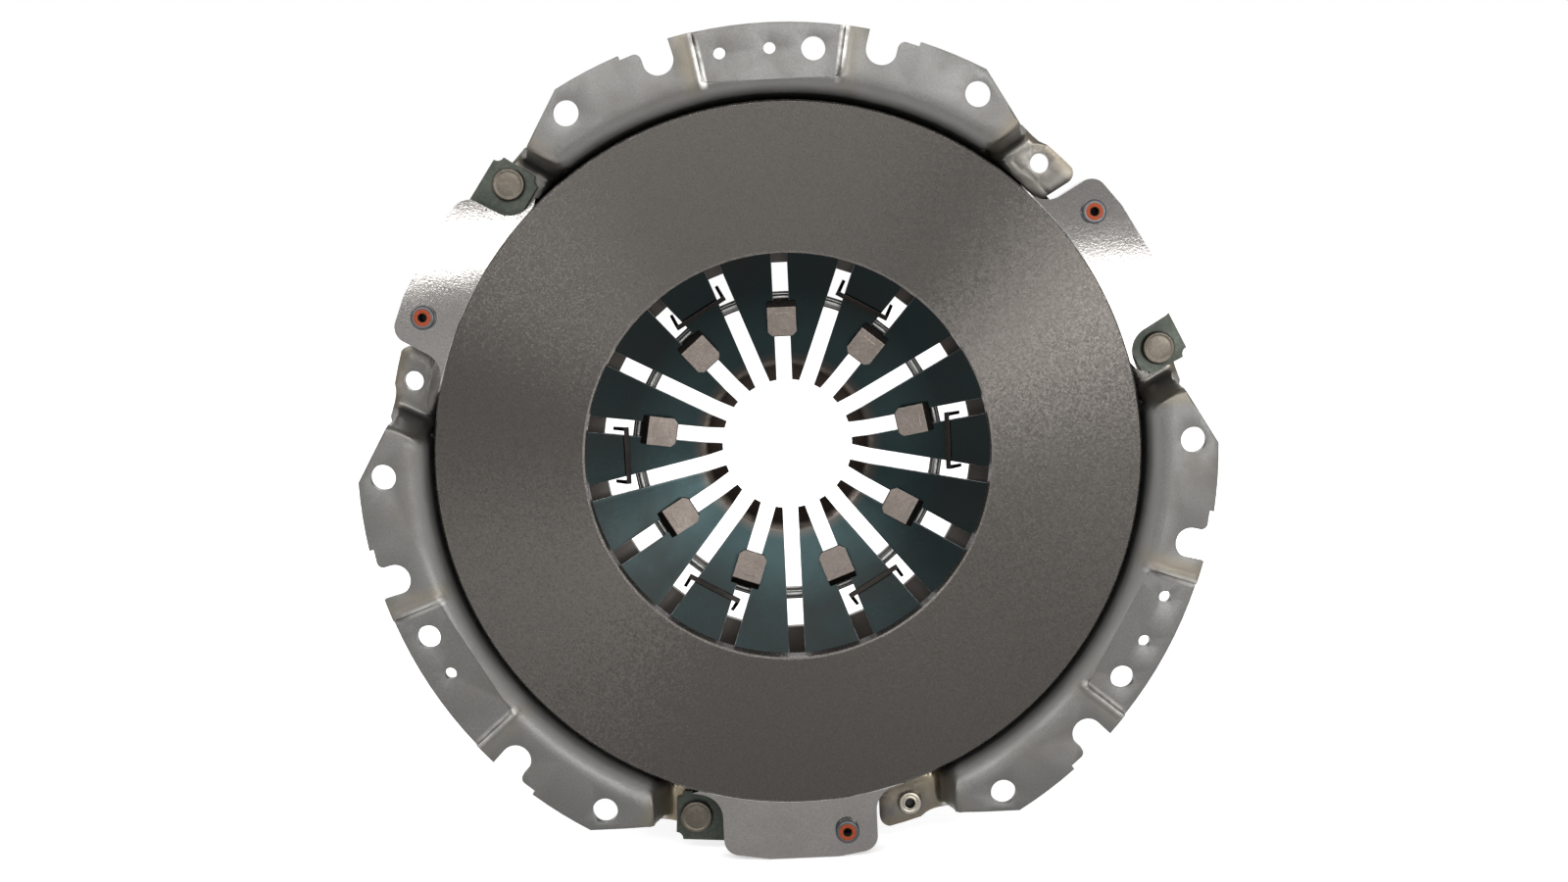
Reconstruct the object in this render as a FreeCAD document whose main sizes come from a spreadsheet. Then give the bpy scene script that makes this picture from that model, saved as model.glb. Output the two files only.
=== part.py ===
# Diaphragm clutch cover assembly with its pressure plate, for a clutch disc of 310 mm.
# The clutch axis is Y. The flywheel side is -Y, the gearbox side is +Y, and Z is up.
# The origin is on the axis, in the plane of the cover's mounting flange.
# A depth is a distance along +Y from that plane. A radius is measured from the axis.
# An angle counts from +X towards +Z, so 90 is the top and 270 is the bottom.
# The cover has three bays, at 30, 150 and 270 degrees, where a lug of the plate comes through.
# In a bay, "across" is measured sideways from the lug's centreline and "out" along it.

import FreeCAD, Part
import os
import re

import Sketcher

# Driving dimensions in millimetres and degrees
SIZES = {
    # cover stamping
    "cover_sheet": 4.5,
    "flange_radius": 187.5,
    "wall_radius": 158.0,
    "flange_bend": 10.0,
    "dish_edge_depth": 45.5,
    "dish_bend": 11.0,
    "dish_flat_radius": 116.0,
    "cover_opening_radius": 66.2,
    "window_inner_radius": 71.2,
    "window_outer_radius": 84.4,
    "window_width": 13.0,
    "window_corner": 2.5,
    # mounting holes in the flange
    "bolt_circle_radius": 176.7,
    "bolt_hole_radius": 5.6,
    "dowel_hole_radius": 5.2,
    "dowel_angle": 83.9,
    "gauge_hole_radius": 2.65,
    "gauge_angle_mid": 90.0,
    "gauge_angle_side": 97.0,
    "notch_angle": 15.4,
    "notch_width": 13.5,
    "notch_floor_radius": 173.5,
    "ear_angle": 20.2,
    "ear_drop": 1.9,
    "ear_corner": 2.8,
    # recessed middle panel of each flange segment
    "panel_half_angle": 10.1,
    "panel_recess": 1.6,
    "panel_inner_radius": 166.0,
    # bay where a lug comes through
    "flange_trim_out": 161.5,
    "fold_crest_across": 66.8,
    "fold_foot_across": 60.8,
    "fold_bend": 3.5,
    "tab_depth": 26.0,
    "tab_radius": 178.0,
    "tab_bend": 6.3,
    "tab_end_across": 34.2,
    "tab_end_across_strap": 39.0,
    "tab_corner": 5.0,
    "bay_floor_depth": 36.0,
    "tab_hole_radius": 4.35,
    "tab_hole_circle": 169.8,
    "tab_hole_angle": 16.45,
    # pressure plate casting
    "face_depth": 5.5,
    "plate_radius": 155.0,
    "plate_bore_radius": 89.3,
    "plate_edge_thickness": 16.0,
    "plate_bore_thickness": 12.0,
    "land_radius": 112.0,
    "land_half_width": 3.5,
    "land_root_half_width": 8.0,
    "land_gap": 0.3,
    "bore_chamfer": 0.8,
    "lug_radius": 181.2,
    "lug_face_depth": 7.5,
    "lug_thickness": 10.0,
    "lug_side": 32.2,
    "lug_side_strap": 36.6,
    "lug_corner": 7.0,
    "lug_root_fillet": 11.0,
    "lug_root_out": 149.0,
    # diaphragm spring
    "spring_thickness": 3.2,
    "spring_outer_radius": 117.0,
    "spring_tip_radius": 30.0,
    "spring_angle": 18.5,
    "tip_bend_radius": 38.0,
    "tip_drop": 4.8,
    "finger_count": 18,
    "slot_width": 7.1,
    "slot_end_radius": 99.0,
    # pivot wire
    "pivot_radius": 68.7,
    "pivot_depth": 45.0,
    "pivot_wire": 1.6,
    "seat_gap": 0.1,
    # retaining studs
    "stud_count": 9,
    "stud_head_width": 13.0,
    "stud_head_inner": 50.9,
    "stud_head_outer": 64.1,
    "stud_shoulder": 66.8,
    "stud_head_thickness": 3.0,
    "stud_head_chamfer": 2.6,
    "stud_head_lift_inner": 2.4,
    "stud_head_lift_outer": 0.7,
    "stud_neck_inner": 61.4,
    "stud_neck_outer": 66.6,
    "stud_neck_width": 6.2,
    "stud_tail_overhang": 1.4,
    "stud_tail_height": 2.0,
    "stud_ear_inner": 59.4,
    "stud_ear_width": 12.0,
    # ring clips
    "clip_out": 73.0,
    "clip_bar_width": 2.2,
    "clip_thickness": 1.2,
    "clip_gap": 0.2,
    "clip_half_length": 13.0,
    "clip_leg_width": 1.6,
    "clip_leg_out": 79.5,
    "clip_leg_depth": 50.2,
    # drive straps and their rivets
    "strap_width": 22.6,
    "strap_leaf": 0.9,
    "strap_pitch": 68.0,
    "strap_overhang": 9.0,
    "strap_flat": 13.0,
    "strap_notch": 3.2,
    "strap_circle": 171.0,
    "strap_angle": 16.7,
    "strap_tilt": 4.5,
    "rivet_shank_radius": 3.9,
    "rivet_clearance": 0.1,
    "strap_rivet_head_radius": 7.35,
    "strap_rivet_head_height": 3.0,
    "strap_rivet_tail_radius": 6.2,
    "strap_rivet_tail_height": 2.4,
    "lug_rivet_collar_radius": 5.3,
    "lug_rivet_collar_height": 3.8,
    "lug_rivet_bore_radius": 1.9,
    "rivet_bore_depth": 9.0,
    "lug_rivet_tail_radius": 6.4,
    "lug_rivet_tail_height": 2.4,
    "balance_collar_radius": 5.1,
    "balance_collar_height": 3.0,
    "balance_bore_radius": 2.1,
    "balance_tail_radius": 5.4,
    "balance_tail_height": 2.0,
}

BAY_COUNT = 3
LEAF_COUNT = 3
BAY_NAMES = ["right", "left", "bottom"]
BAY_ANGLES = [30.0, 150.0, 270.0]
CLIP_ANGLES = [0.0, 60.0, 120.0, 180.0, 240.0, 300.0]
FIRST_STUD_ANGLE = 90.0

# Lengths that several pieces share, written in the names above
SPRING_FACE = "(pivot_depth + (pivot_radius - ({0})) * tan(spring_angle))"
SPRING_BACK = "(spring_thickness / cos(spring_angle))"
WIRE_DEPTH = "(pivot_depth + " + SPRING_BACK + " + (pivot_wire + seat_gap) / cos(spring_angle))"
DISH_DEPTH = "(" + WIRE_DEPTH + " + pivot_wire + seat_gap)"
LAND_DEPTH = "(" + SPRING_FACE.format("land_radius + land_half_width") + " - land_gap)"
LUG_BACK = "(lug_face_depth + lug_thickness)"
STRAP_STACK = "(strap_leaf * {:d})".format(LEAF_COUNT)

doc = FreeCAD.newDocument("clutch_cover_assembly")
sheet = doc.addObject("Spreadsheet::Sheet", "sizes")
for row, (alias, value) in enumerate(SIZES.items(), start=1):
    sheet.set("A{}".format(row), alias)
    sheet.set("B{}".format(row), str(value))
    sheet.setAlias("B{}".format(row), alias)
doc.recompute()

NAMES = re.compile(r"\b(" + "|".join(sorted(SIZES, key=len, reverse=True)) + r")\b")


def bound(text):
    """The expression with each size's name turned into a reference to its cell."""
    return NAMES.sub(r"sizes.\1", str(text))


def number(text):
    """The value that an expression in sizes has now."""
    return float(sheet.evalExpression(bound(text)))


def origin_feature(body, role):
    """One of a body's own origin planes or axes."""
    for feature in body.Origin.OriginFeatures:
        if feature.Role == role:
            return feature
    raise ValueError(role)


def new_body(label, spin=0.0):
    """A body, turned about the clutch axis from where its sketches are drawn."""
    body = doc.addObject("PartDesign::Body", label)
    body.Label = label
    if spin:
        turn = FreeCAD.Rotation(FreeCAD.Vector(0, 1, 0), -spin)
        body.Placement = FreeCAD.Placement(FreeCAD.Vector(0, 0, 0), turn)
    return body


def new_sketch(body, role, depth="0"):
    """An empty sketch on an origin plane, or for XZ_Plane at a depth behind the flange."""
    sketch = body.newObject("Sketcher::SketchObject", body.Label + "_sketch")
    sketch.AttachmentSupport = [(origin_feature(body, role), "")]
    sketch.MapMode = "FlatFace"
    if depth != "0":
        sketch.setExpression("AttachmentOffset.Base.z", bound("-(" + depth + ")"))
    doc.recompute()
    return sketch


def fix_point(sketch, geometry, point, x, y):
    """Ties a point's two coordinates to expressions."""
    for kind, axis, text in (("DistanceX", -2, x), ("DistanceY", -1, y)):
        value = number(text)
        if value == 0:
            sketch.addConstraint(Sketcher.Constraint("PointOnObject", geometry, point, axis))
        else:
            index = sketch.addConstraint(Sketcher.Constraint(kind, -1, 1, geometry, point, value))
            sketch.setExpression("Constraints[{}]".format(index), bound(text))


def fix_radius(sketch, geometry, text):
    """Ties an arc's or a circle's radius to an expression."""
    index = sketch.addConstraint(Sketcher.Constraint("Radius", geometry, number(text)))
    sketch.setExpression("Constraints[{}]".format(index), bound(text))


def outline(sketch, corners):
    """A closed outline. Each corner is (x, y) or, for a rounded one, (x, y, radius)."""
    first = sketch.GeometryCount
    places = [FreeCAD.Vector(number(c[0]), number(c[1]), 0) for c in corners]
    count = len(corners)
    for i in range(count):
        sketch.addGeometry(Part.LineSegment(places[i], places[(i + 1) % count]))
    for i in range(count):
        sketch.addConstraint(
            Sketcher.Constraint("Coincident", first + i, 2, first + (i + 1) % count, 1)
        )
    for i, corner in enumerate(corners):
        fix_point(sketch, first + i, 1, corner[0], corner[1])
    for i, corner in enumerate(corners):
        if len(corner) == 3:
            sketch.fillet(first + i, 1, number(corner[2]), True, True)
            fix_radius(sketch, sketch.GeometryCount - 2, corner[2])


def circle(sketch, x, y, radius):
    """A circle with its centre and radius tied to expressions."""
    centre = FreeCAD.Vector(number(x), number(y), 0)
    index = sketch.addGeometry(Part.Circle(centre, FreeCAD.Vector(0, 0, 1), number(radius)))
    fix_point(sketch, index, 3, x, y)
    fix_radius(sketch, index, radius)


def at_angle(radius, angle, side="0"):
    """Coordinates of a point at a radius and angle, moved sideways by side."""
    x = "({0}) * cos({1}) - ({2}) * sin({1})".format(radius, angle, side)
    y = "({0}) * sin({1}) + ({2}) * cos({1})".format(radius, angle, side)
    return x, y


def revolve(body, sketch, angle="360", midplane=False):
    """Turns a half section about the clutch axis."""
    feature = body.newObject("PartDesign::Revolution", body.Label + "_revolve")
    feature.Profile = sketch
    feature.ReferenceAxis = (origin_feature(body, "Y_Axis"), [""])
    feature.setExpression("Angle", bound(angle))
    feature.Midplane = midplane
    finish_feature(body, feature)
    return feature


def finish_feature(body, feature, refine=False):
    """Recomputes after a feature and stops if it failed."""
    body.Tip = feature
    feature.Refine = refine
    doc.recompute()
    if "Invalid" in feature.State or "Error" in feature.State or feature.Shape.isNull():
        raise RuntimeError(feature.Label + " failed")


def extrude(body, sketch, length, kind="Pad", midplane=False, towards_flywheel=False):
    """A pad or pocket. On XZ_Plane it runs towards the gearbox unless told otherwise."""
    before = body.Tip.Shape.Volume if body.Tip and not body.Tip.Shape.isNull() else 0.0
    feature = body.newObject("PartDesign::" + kind, body.Label + "_" + kind.lower())
    feature.Profile = sketch
    feature.setExpression("Length", bound(length))
    if midplane:
        feature.Midplane = True
    else:
        feature.Reversed = (kind == "Pad") != towards_flywheel
    finish_feature(body, feature)
    after = feature.Shape.Volume
    grew = after > before if kind == "Pad" else after < before
    if not grew:
        raise RuntimeError(feature.Label + " changed nothing")
    return feature


def around(body, features, count):
    """Repeats features evenly about the clutch axis."""
    pattern = body.newObject("PartDesign::PolarPattern", body.Label + "_pattern")
    pattern.Originals = features
    pattern.Axis = (origin_feature(body, "Y_Axis"), [""])
    pattern.Angle = 360
    pattern.setExpression("Occurrences", bound(count))
    finish_feature(body, pattern, refine=True)
    return pattern


# Cover: one stamping with a flange in three segments, a deep wall and a dished back
def make_cover():
    body = new_body("clutch_cover")
    section = new_sketch(body, "XY_Plane")
    outline(section, [
        ("flange_radius", "0"),
        ("wall_radius", "0", "flange_bend"),
        ("wall_radius", "dish_edge_depth", "dish_bend"),
        ("dish_flat_radius", DISH_DEPTH),
        ("cover_opening_radius", DISH_DEPTH),
        ("cover_opening_radius", DISH_DEPTH + " + cover_sheet"),
        ("dish_flat_radius", DISH_DEPTH + " + cover_sheet"),
        ("wall_radius + cover_sheet", "dish_edge_depth + cover_sheet", "dish_bend + cover_sheet"),
        ("wall_radius + cover_sheet", "cover_sheet", "flange_bend - cover_sheet"),
        ("flange_radius", "cover_sheet"),
    ])
    revolve(body, section)
    make_centre(body)
    make_panels(body)
    make_flange_holes(body)
    make_bays(body)
    make_tab_holes(body)
    return body


def panel_sector(body, depth):
    """The plan of the middle panel of the top segment, as a sketch at a depth."""
    sketch = new_sketch(body, "XZ_Plane", depth)
    low, high = "90 - panel_half_angle", "90 + panel_half_angle"
    outline(sketch, [
        at_angle("panel_inner_radius", low),
        at_angle("flange_radius / cos(panel_half_angle)", low),
        at_angle("flange_radius / cos(panel_half_angle)", high),
        at_angle("panel_inner_radius", high),
    ])
    return sketch


def make_panels(body):
    """Sets each segment's middle panel back from the bolting face by its recess."""
    front = extrude(body, panel_sector(body, "0"), "panel_recess", "Pocket")
    around(body, [front], BAY_COUNT)
    section = new_sketch(body, "YZ_Plane")
    outline(section, [
        ("cover_sheet - panel_recess", "panel_inner_radius"),
        ("cover_sheet - panel_recess", "flange_radius"),
        ("cover_sheet + panel_recess", "flange_radius"),
        ("cover_sheet + panel_recess", "panel_inner_radius"),
    ])
    back = revolve(body, section, "panel_half_angle * 2", True)
    around(body, [back], BAY_COUNT)


def make_bays(body):
    """Cuts the flange and wall down in each bay, and adds the low tabs and their folds."""
    plan = new_sketch(body, "XZ_Plane", "-1")
    outline(plan, [
        ("-fold_crest_across", "-lug_root_out * 0.9"),
        ("fold_crest_across", "-lug_root_out * 0.9"),
        ("fold_crest_across", "-flange_radius - 2"),
        ("-fold_crest_across", "-flange_radius - 2"),
    ])
    cut = extrude(body, plan, "tab_depth + 1", "Pocket")
    around(body, [cut], BAY_COUNT)

    section = new_sketch(body, "YZ_Plane")
    outline(section, [
        ("tab_depth", "-tab_radius"),
        ("tab_depth", "-wall_radius", "tab_bend"),
        ("bay_floor_depth + 2", "-wall_radius"),
        ("bay_floor_depth + 2", "-wall_radius - cover_sheet"),
        ("tab_depth + cover_sheet", "-wall_radius - cover_sheet", "tab_bend - cover_sheet"),
        ("tab_depth + cover_sheet", "-tab_radius"),
    ])
    tab_span = "asin((fold_crest_across + 1) / tab_radius) * 2"
    tabs = revolve(body, section, tab_span, True)

    folds = []
    for side in ("", "-"):
        fold = new_sketch(body, "XY_Plane")
        slant = "cover_sheet * 1.03"
        outline(fold, [
            (side + "(fold_foot_across - fold_bend)", "tab_depth"),
            (side + "fold_foot_across", "tab_depth", "fold_bend"),
            (side + "fold_crest_across", "0", "fold_bend"),
            (side + "(fold_crest_across + cover_sheet * 1.6)", "0"),
            (side + "(fold_crest_across + cover_sheet * 1.6)", "cover_sheet"),
            (side + "(fold_crest_across + " + slant + ")", "cover_sheet"),
            (side + "(fold_foot_across + " + slant + ")", "tab_depth + cover_sheet"),
            (side + "(fold_foot_across - fold_bend)", "tab_depth + cover_sheet"),
        ])
        fold.setExpression("AttachmentOffset.Base.z", bound("-(flange_trim_out + 4)"))
        doc.recompute()
        pad = body.newObject("PartDesign::Pad", "clutch_cover_fold")
        pad.Profile = fold
        pad.setExpression("Length", bound("flange_trim_out + 4 - wall_radius * 0.92"))
        finish_feature(body, pad)
        folds.append(pad)
    around(body, [tabs] + folds, BAY_COUNT)

    throat = new_sketch(body, "XZ_Plane", "-1")
    edge = "-tab_radius * cos(asin({0} / tab_radius))"
    rim = "-(tab_radius + 0.4) * cos(asin(({0} + tab_corner * 1.5) / tab_radius))"
    ahead, behind = "tab_end_across", "tab_end_across_strap"
    outline(throat, [
        ("-" + behind, "-lug_root_out * 0.9"),
        (ahead, "-lug_root_out * 0.9"),
        (ahead, edge.format(ahead), "tab_corner"),
        (ahead + " + tab_corner * 1.5", rim.format(ahead)),
        (ahead + " + tab_corner * 1.5", "-flange_radius - 2"),
        ("-" + behind + " - tab_corner * 1.5", "-flange_radius - 2"),
        ("-" + behind + " - tab_corner * 1.5", rim.format(behind)),
        ("-" + behind, edge.format(behind), "tab_corner"),
    ])
    opening = extrude(body, throat, "bay_floor_depth + 1", "Pocket")
    corners = new_sketch(body, "XZ_Plane", "-1")
    for side in ("", "-"):
        outline(corners, [
            (side + "fold_crest_across * 0.9", "-flange_trim_out"),
            (side + "flange_radius * 0.6", "-flange_trim_out"),
            (side + "flange_radius * 0.6", "-flange_radius - 2"),
            (side + "fold_crest_across * 0.9", "-flange_radius - 2"),
        ])
    trim = extrude(body, corners, "tab_depth * 0.5 + 1", "Pocket")
    around(body, [opening, trim], BAY_COUNT)

    inside = new_sketch(body, "XZ_Plane", "-1")
    circle(inside, "0", "0", "wall_radius")
    extrude(body, inside, "tab_depth + tab_bend + 1", "Pocket")


def make_flange_holes(body):
    """Bolt, dowel and gauge holes, and the notches in the flange's edge."""
    deep = "tab_depth * 0.5 + 1"
    plan = new_sketch(body, "XZ_Plane", "-1")
    for angle in ("60", "120"):
        circle(plan, *at_angle("bolt_circle_radius", angle), "bolt_hole_radius")
    circle(plan, *at_angle("bolt_circle_radius", "dowel_angle"), "dowel_hole_radius")
    circle(plan, *at_angle("bolt_circle_radius", "gauge_angle_mid"), "gauge_hole_radius")
    holes = extrude(body, plan, deep, "Pocket")

    notches = new_sketch(body, "XZ_Plane", "-1")
    floor, mouth = "notch_floor_radius", "flange_radius + 3"
    ear = "flange_radius - ear_drop"
    for away, back in (("-", ""), ("", "-")):
        middle = "90 + " + away + "notch_angle"
        end = "90 + " + away + "ear_angle"
        outer, inner = away + "(notch_width / 2)", back + "(notch_width / 2)"
        outline(notches, [
            at_angle(floor, middle, inner) + ("notch_width * 0.49",),
            at_angle(mouth, middle, inner),
            at_angle(mouth, end),
            at_angle(ear, end),
            at_angle(ear, middle, outer) + ("ear_corner",),
            at_angle(floor, middle, outer) + ("notch_width * 0.49",),
        ])
    cut = extrude(body, notches, deep, "Pocket")
    around(body, [holes, cut], BAY_COUNT)

    spare = new_sketch(body, "XZ_Plane", "-1")
    for turn in ("0", "240"):
        place = at_angle("bolt_circle_radius", "gauge_angle_side + " + turn)
        circle(spare, *place, "gauge_hole_radius")
    extrude(body, spare, deep, "Pocket")


def make_tab_holes(body):
    """One open hole in each tab ahead of the lug, and one for the strap's rivet behind it."""
    tabs = new_sketch(body, "XZ_Plane", "tab_depth - 1")
    circle(tabs, *at_angle("tab_hole_circle", "270 + tab_hole_angle"), "tab_hole_radius")
    shank = "rivet_shank_radius + rivet_clearance"
    circle(tabs, *at_angle("strap_circle", "270 - strap_angle"), shank)
    drilled = extrude(body, tabs, "cover_sheet + 2", "Pocket")
    around(body, [drilled], BAY_COUNT)


def make_centre(body):
    """The windows behind the fingers, and the ears that hold the studs."""
    above = DISH_DEPTH + " - 1"
    plan = new_sketch(body, "XZ_Plane", above)
    half = "window_width / 2"
    outline(plan, [
        ("-" + half, "window_inner_radius", "window_corner"),
        (half, "window_inner_radius", "window_corner"),
        (half, "window_outer_radius", "window_corner"),
        ("-" + half, "window_outer_radius", "window_corner"),
    ])
    window = extrude(body, plan, "cover_sheet + 2", "Pocket")
    around(body, [window], "finger_count")

    ear = new_sketch(body, "XZ_Plane", DISH_DEPTH)
    outline(ear, [
        ("-stud_ear_width / 2", "stud_ear_inner", "window_corner"),
        ("stud_ear_width / 2", "stud_ear_inner", "window_corner"),
        ("stud_ear_width / 2", "cover_opening_radius + 2"),
        ("-stud_ear_width / 2", "cover_opening_radius + 2"),
    ])
    pad = extrude(body, ear, "cover_sheet")
    seat = new_sketch(body, "XZ_Plane", above)
    outline(seat, [
        ("-stud_neck_width / 2 - seat_gap", "stud_neck_inner - seat_gap"),
        ("stud_neck_width / 2 + seat_gap", "stud_neck_inner - seat_gap"),
        ("stud_neck_width / 2 + seat_gap", "stud_neck_outer + seat_gap"),
        ("-stud_neck_width / 2 - seat_gap", "stud_neck_outer + seat_gap"),
    ])
    hole = extrude(body, seat, "cover_sheet + 2", "Pocket")
    around(body, [pad, hole], "stud_count")


# Pressure plate: an iron ring with three lugs and a raised land that the spring presses on
def make_pressure_plate():
    body = new_body("pressure_plate")
    section = new_sketch(body, "XY_Plane")
    back = "face_depth + plate_edge_thickness"
    outline(section, [
        ("plate_bore_radius + bore_chamfer", "face_depth"),
        ("plate_radius - bore_chamfer", "face_depth"),
        ("plate_radius", "face_depth + bore_chamfer"),
        ("plate_radius", back, "2"),
        ("land_radius + land_root_half_width", back),
        ("land_radius + land_half_width", LAND_DEPTH),
        ("land_radius - land_half_width", LAND_DEPTH),
        ("land_radius - land_root_half_width", "face_depth + plate_bore_thickness + 2"),
        ("plate_bore_radius", "face_depth + plate_bore_thickness", "1.5"),
        ("plate_bore_radius", "face_depth + bore_chamfer"),
    ])
    revolve(body, section)

    plan = new_sketch(body, "XZ_Plane", "lug_face_depth")
    outline(plan, [
        ("-lug_side_strap - lug_root_fillet * 1.2", "-lug_root_out"),
        ("-lug_side_strap", "-lug_root_out - 3", "lug_root_fillet"),
        ("-lug_side_strap", "-lug_radius * cos(asin(lug_side_strap / lug_radius))", "lug_corner"),
        ("-lug_side_strap * 0.45", "-lug_radius * cos(asin(lug_side_strap * 0.45 / lug_radius)) - 0.4"),
        ("lug_side * 0.45", "-lug_radius * cos(asin(lug_side * 0.45 / lug_radius)) - 0.4"),
        ("lug_side", "-lug_radius * cos(asin(lug_side / lug_radius))", "lug_corner"),
        ("lug_side", "-lug_root_out - 3", "lug_root_fillet"),
        ("lug_side + lug_root_fillet * 1.2", "-lug_root_out"),
        ("0", "-lug_root_out + 10"),
    ])
    lug = extrude(body, plan, "lug_thickness")
    hole = new_sketch(body, "XZ_Plane", "lug_face_depth - 1")
    circle(hole, *LUG_RIVET_PLACE, "rivet_shank_radius + rivet_clearance")
    drilled = extrude(body, hole, "lug_thickness + 2", "Pocket")
    around(body, [lug, drilled], BAY_COUNT)
    return body


# Diaphragm spring: a coned steel disc, slotted into fingers with bent tips
def make_spring():
    body = new_body("diaphragm_spring")
    section = new_sketch(body, "XY_Plane")
    outer = SPRING_FACE.format("spring_outer_radius")
    bend = SPRING_FACE.format("tip_bend_radius")
    outline(section, [
        ("spring_outer_radius", outer),
        ("tip_bend_radius", bend, "12"),
        ("spring_tip_radius", bend + " + tip_drop"),
        ("spring_tip_radius", bend + " + tip_drop + " + SPRING_BACK),
        ("tip_bend_radius", bend + " + " + SPRING_BACK, "12"),
        ("spring_outer_radius", outer + " + " + SPRING_BACK),
    ])
    revolve(body, section)
    plan = new_sketch(body, "XZ_Plane")
    half = "slot_width / 2"
    inner = "spring_tip_radius * 0.7"
    outline(plan, [
        ("-" + half, inner),
        (half, inner),
        (half, "slot_end_radius - slot_width / 2"),
        ("-" + half, "slot_end_radius - slot_width / 2"),
    ])
    depth = bend + " + tip_drop * 2 + spring_thickness * 2"
    slot = extrude(body, plan, depth, "Pocket")
    end = new_sketch(body, "XZ_Plane")
    circle(end, "0", "slot_end_radius - slot_width / 2", half)
    hole = extrude(body, end, depth, "Pocket")
    around(body, [slot, hole], "finger_count")
    return body


# Pivot wire: the ring between the spring and the cover, on which the spring rocks
def make_pivot_wire():
    ring = doc.addObject("Part::Torus", "pivot_wire_ring")
    ring.Label = "pivot_wire_ring"
    ring.setExpression("Radius1", bound("pivot_radius"))
    ring.setExpression("Radius2", bound("pivot_wire"))
    ring.setExpression("Placement.Base.y", bound(WIRE_DEPTH))
    ring.Placement.Rotation = FreeCAD.Rotation(FreeCAD.Vector(1, 0, 0), 90)
    doc.recompute()
    return ring


# Stud: a flat head over two fingers, a neck through the slot and a tail set in the cover's ear.
# The head stands off the fingers as far as they rise when the plate is at its highest.
def make_stud(index, angle):
    body = new_body("spring_stud_{}".format(index), angle - FIRST_STUD_ANGLE)
    inner_seat = SPRING_FACE.format("stud_head_inner") + " - stud_head_lift_inner"
    outer_seat = SPRING_FACE.format("stud_shoulder") + " - stud_head_lift_outer"
    slope = "({} - {}) / (stud_shoulder - stud_head_inner)".format(inner_seat, outer_seat)
    outer_top = "{} - stud_head_thickness - ({}) * (stud_head_outer - stud_head_inner)".format(
        inner_seat, slope)
    side = new_sketch(body, "YZ_Plane")
    outline(side, [
        (inner_seat, "stud_head_inner"),
        (inner_seat + " - stud_head_thickness", "stud_head_inner", "0.6"),
        (outer_top, "stud_head_outer", "0.6"),
        (outer_seat, "stud_shoulder"),
    ])
    extrude(body, side, "stud_head_width", "Pad", midplane=True)
    bevel = new_sketch(body, "XZ_Plane", "pivot_depth - 10")
    for sign in ("", "-"):
        corner = sign + "(stud_head_width / 2 + 0.5)"
        inset = sign + "(stud_head_width / 2 - stud_head_chamfer)"
        outline(bevel, [
            (corner, "stud_head_inner - 0.5"),
            (corner, "stud_head_inner + stud_head_chamfer"),
            (inset, "stud_head_inner - 0.5"),
        ])
    extrude(body, bevel, "30", "Pocket")
    neck = new_sketch(body, "YZ_Plane")
    outline(neck, [
        (outer_seat + " - stud_head_thickness / 3", "stud_neck_inner"),
        (SPRING_FACE.format("stud_neck_outer"), "stud_neck_outer", "1"),
        (DISH_DEPTH + " + cover_sheet + 1", "stud_neck_outer"),
        (DISH_DEPTH + " + cover_sheet + 1", "stud_neck_inner"),
    ])
    extrude(body, neck, "stud_neck_width", "Pad", midplane=True)
    tail = new_sketch(body, "XZ_Plane", DISH_DEPTH + " + cover_sheet")
    over = "stud_tail_overhang"
    outline(tail, [
        ("-stud_neck_width / 2 - " + over, "stud_neck_inner - " + over, "1.5"),
        ("stud_neck_width / 2 + " + over, "stud_neck_inner - " + over, "1.5"),
        ("stud_neck_width / 2 + " + over, "stud_neck_outer + " + over, "1.5"),
        ("-stud_neck_width / 2 - " + over, "stud_neck_outer + " + over, "1.5"),
    ])
    extrude(body, tail, "stud_tail_height")
    return body


# Clip: a thin strip across one finger, with a leg through the slot on either side
def make_clip(index, angle):
    body = new_body("ring_clip_{}".format(index), angle)
    side = new_sketch(body, "XY_Plane")
    inner, outer = "clip_out - clip_bar_width / 2", "clip_out + clip_bar_width / 2"
    seat = " - clip_gap / cos(spring_angle)"
    outline(side, [
        (inner, SPRING_FACE.format(inner) + seat + " - clip_thickness"),
        (outer, SPRING_FACE.format(outer) + seat + " - clip_thickness"),
        (outer, SPRING_FACE.format(outer) + seat),
        (inner, SPRING_FACE.format(inner) + seat),
    ])
    extrude(body, side, "clip_half_length * 2", "Pad", midplane=True)
    legs = new_sketch(body, "XY_Plane")
    outline(legs, [
        (inner, SPRING_FACE.format(inner) + seat + " - clip_thickness"),
        (outer, SPRING_FACE.format(outer) + seat + " - clip_thickness"),
        ("clip_leg_out", "clip_leg_depth - clip_thickness", "0.5"),
        ("clip_leg_out", "clip_leg_depth"),
        (inner, SPRING_FACE.format(inner) + seat),
    ])
    legs.setExpression("AttachmentOffset.Base.z", bound("clip_half_length - clip_leg_width"))
    doc.recompute()
    near = body.newObject("PartDesign::Pad", "ring_clip_leg")
    near.Profile = legs
    near.setExpression("Length", bound("clip_leg_width"))
    finish_feature(body, near)
    mirror = body.newObject("PartDesign::Mirrored", "ring_clip_mirror")
    mirror.Originals = [near]
    mirror.MirrorPlane = (origin_feature(body, "XY_Plane"), [""])
    finish_feature(body, mirror)
    return body


# Where the bottom bay's strap starts at the cover and ends at the lug
STRAP_START = at_angle("strap_circle", "270 - strap_angle")
LUG_RIVET_PLACE = (
    STRAP_START[0] + " + strap_pitch * cos(strap_tilt)",
    STRAP_START[1] + " - strap_pitch * sin(strap_tilt)",
)


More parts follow.
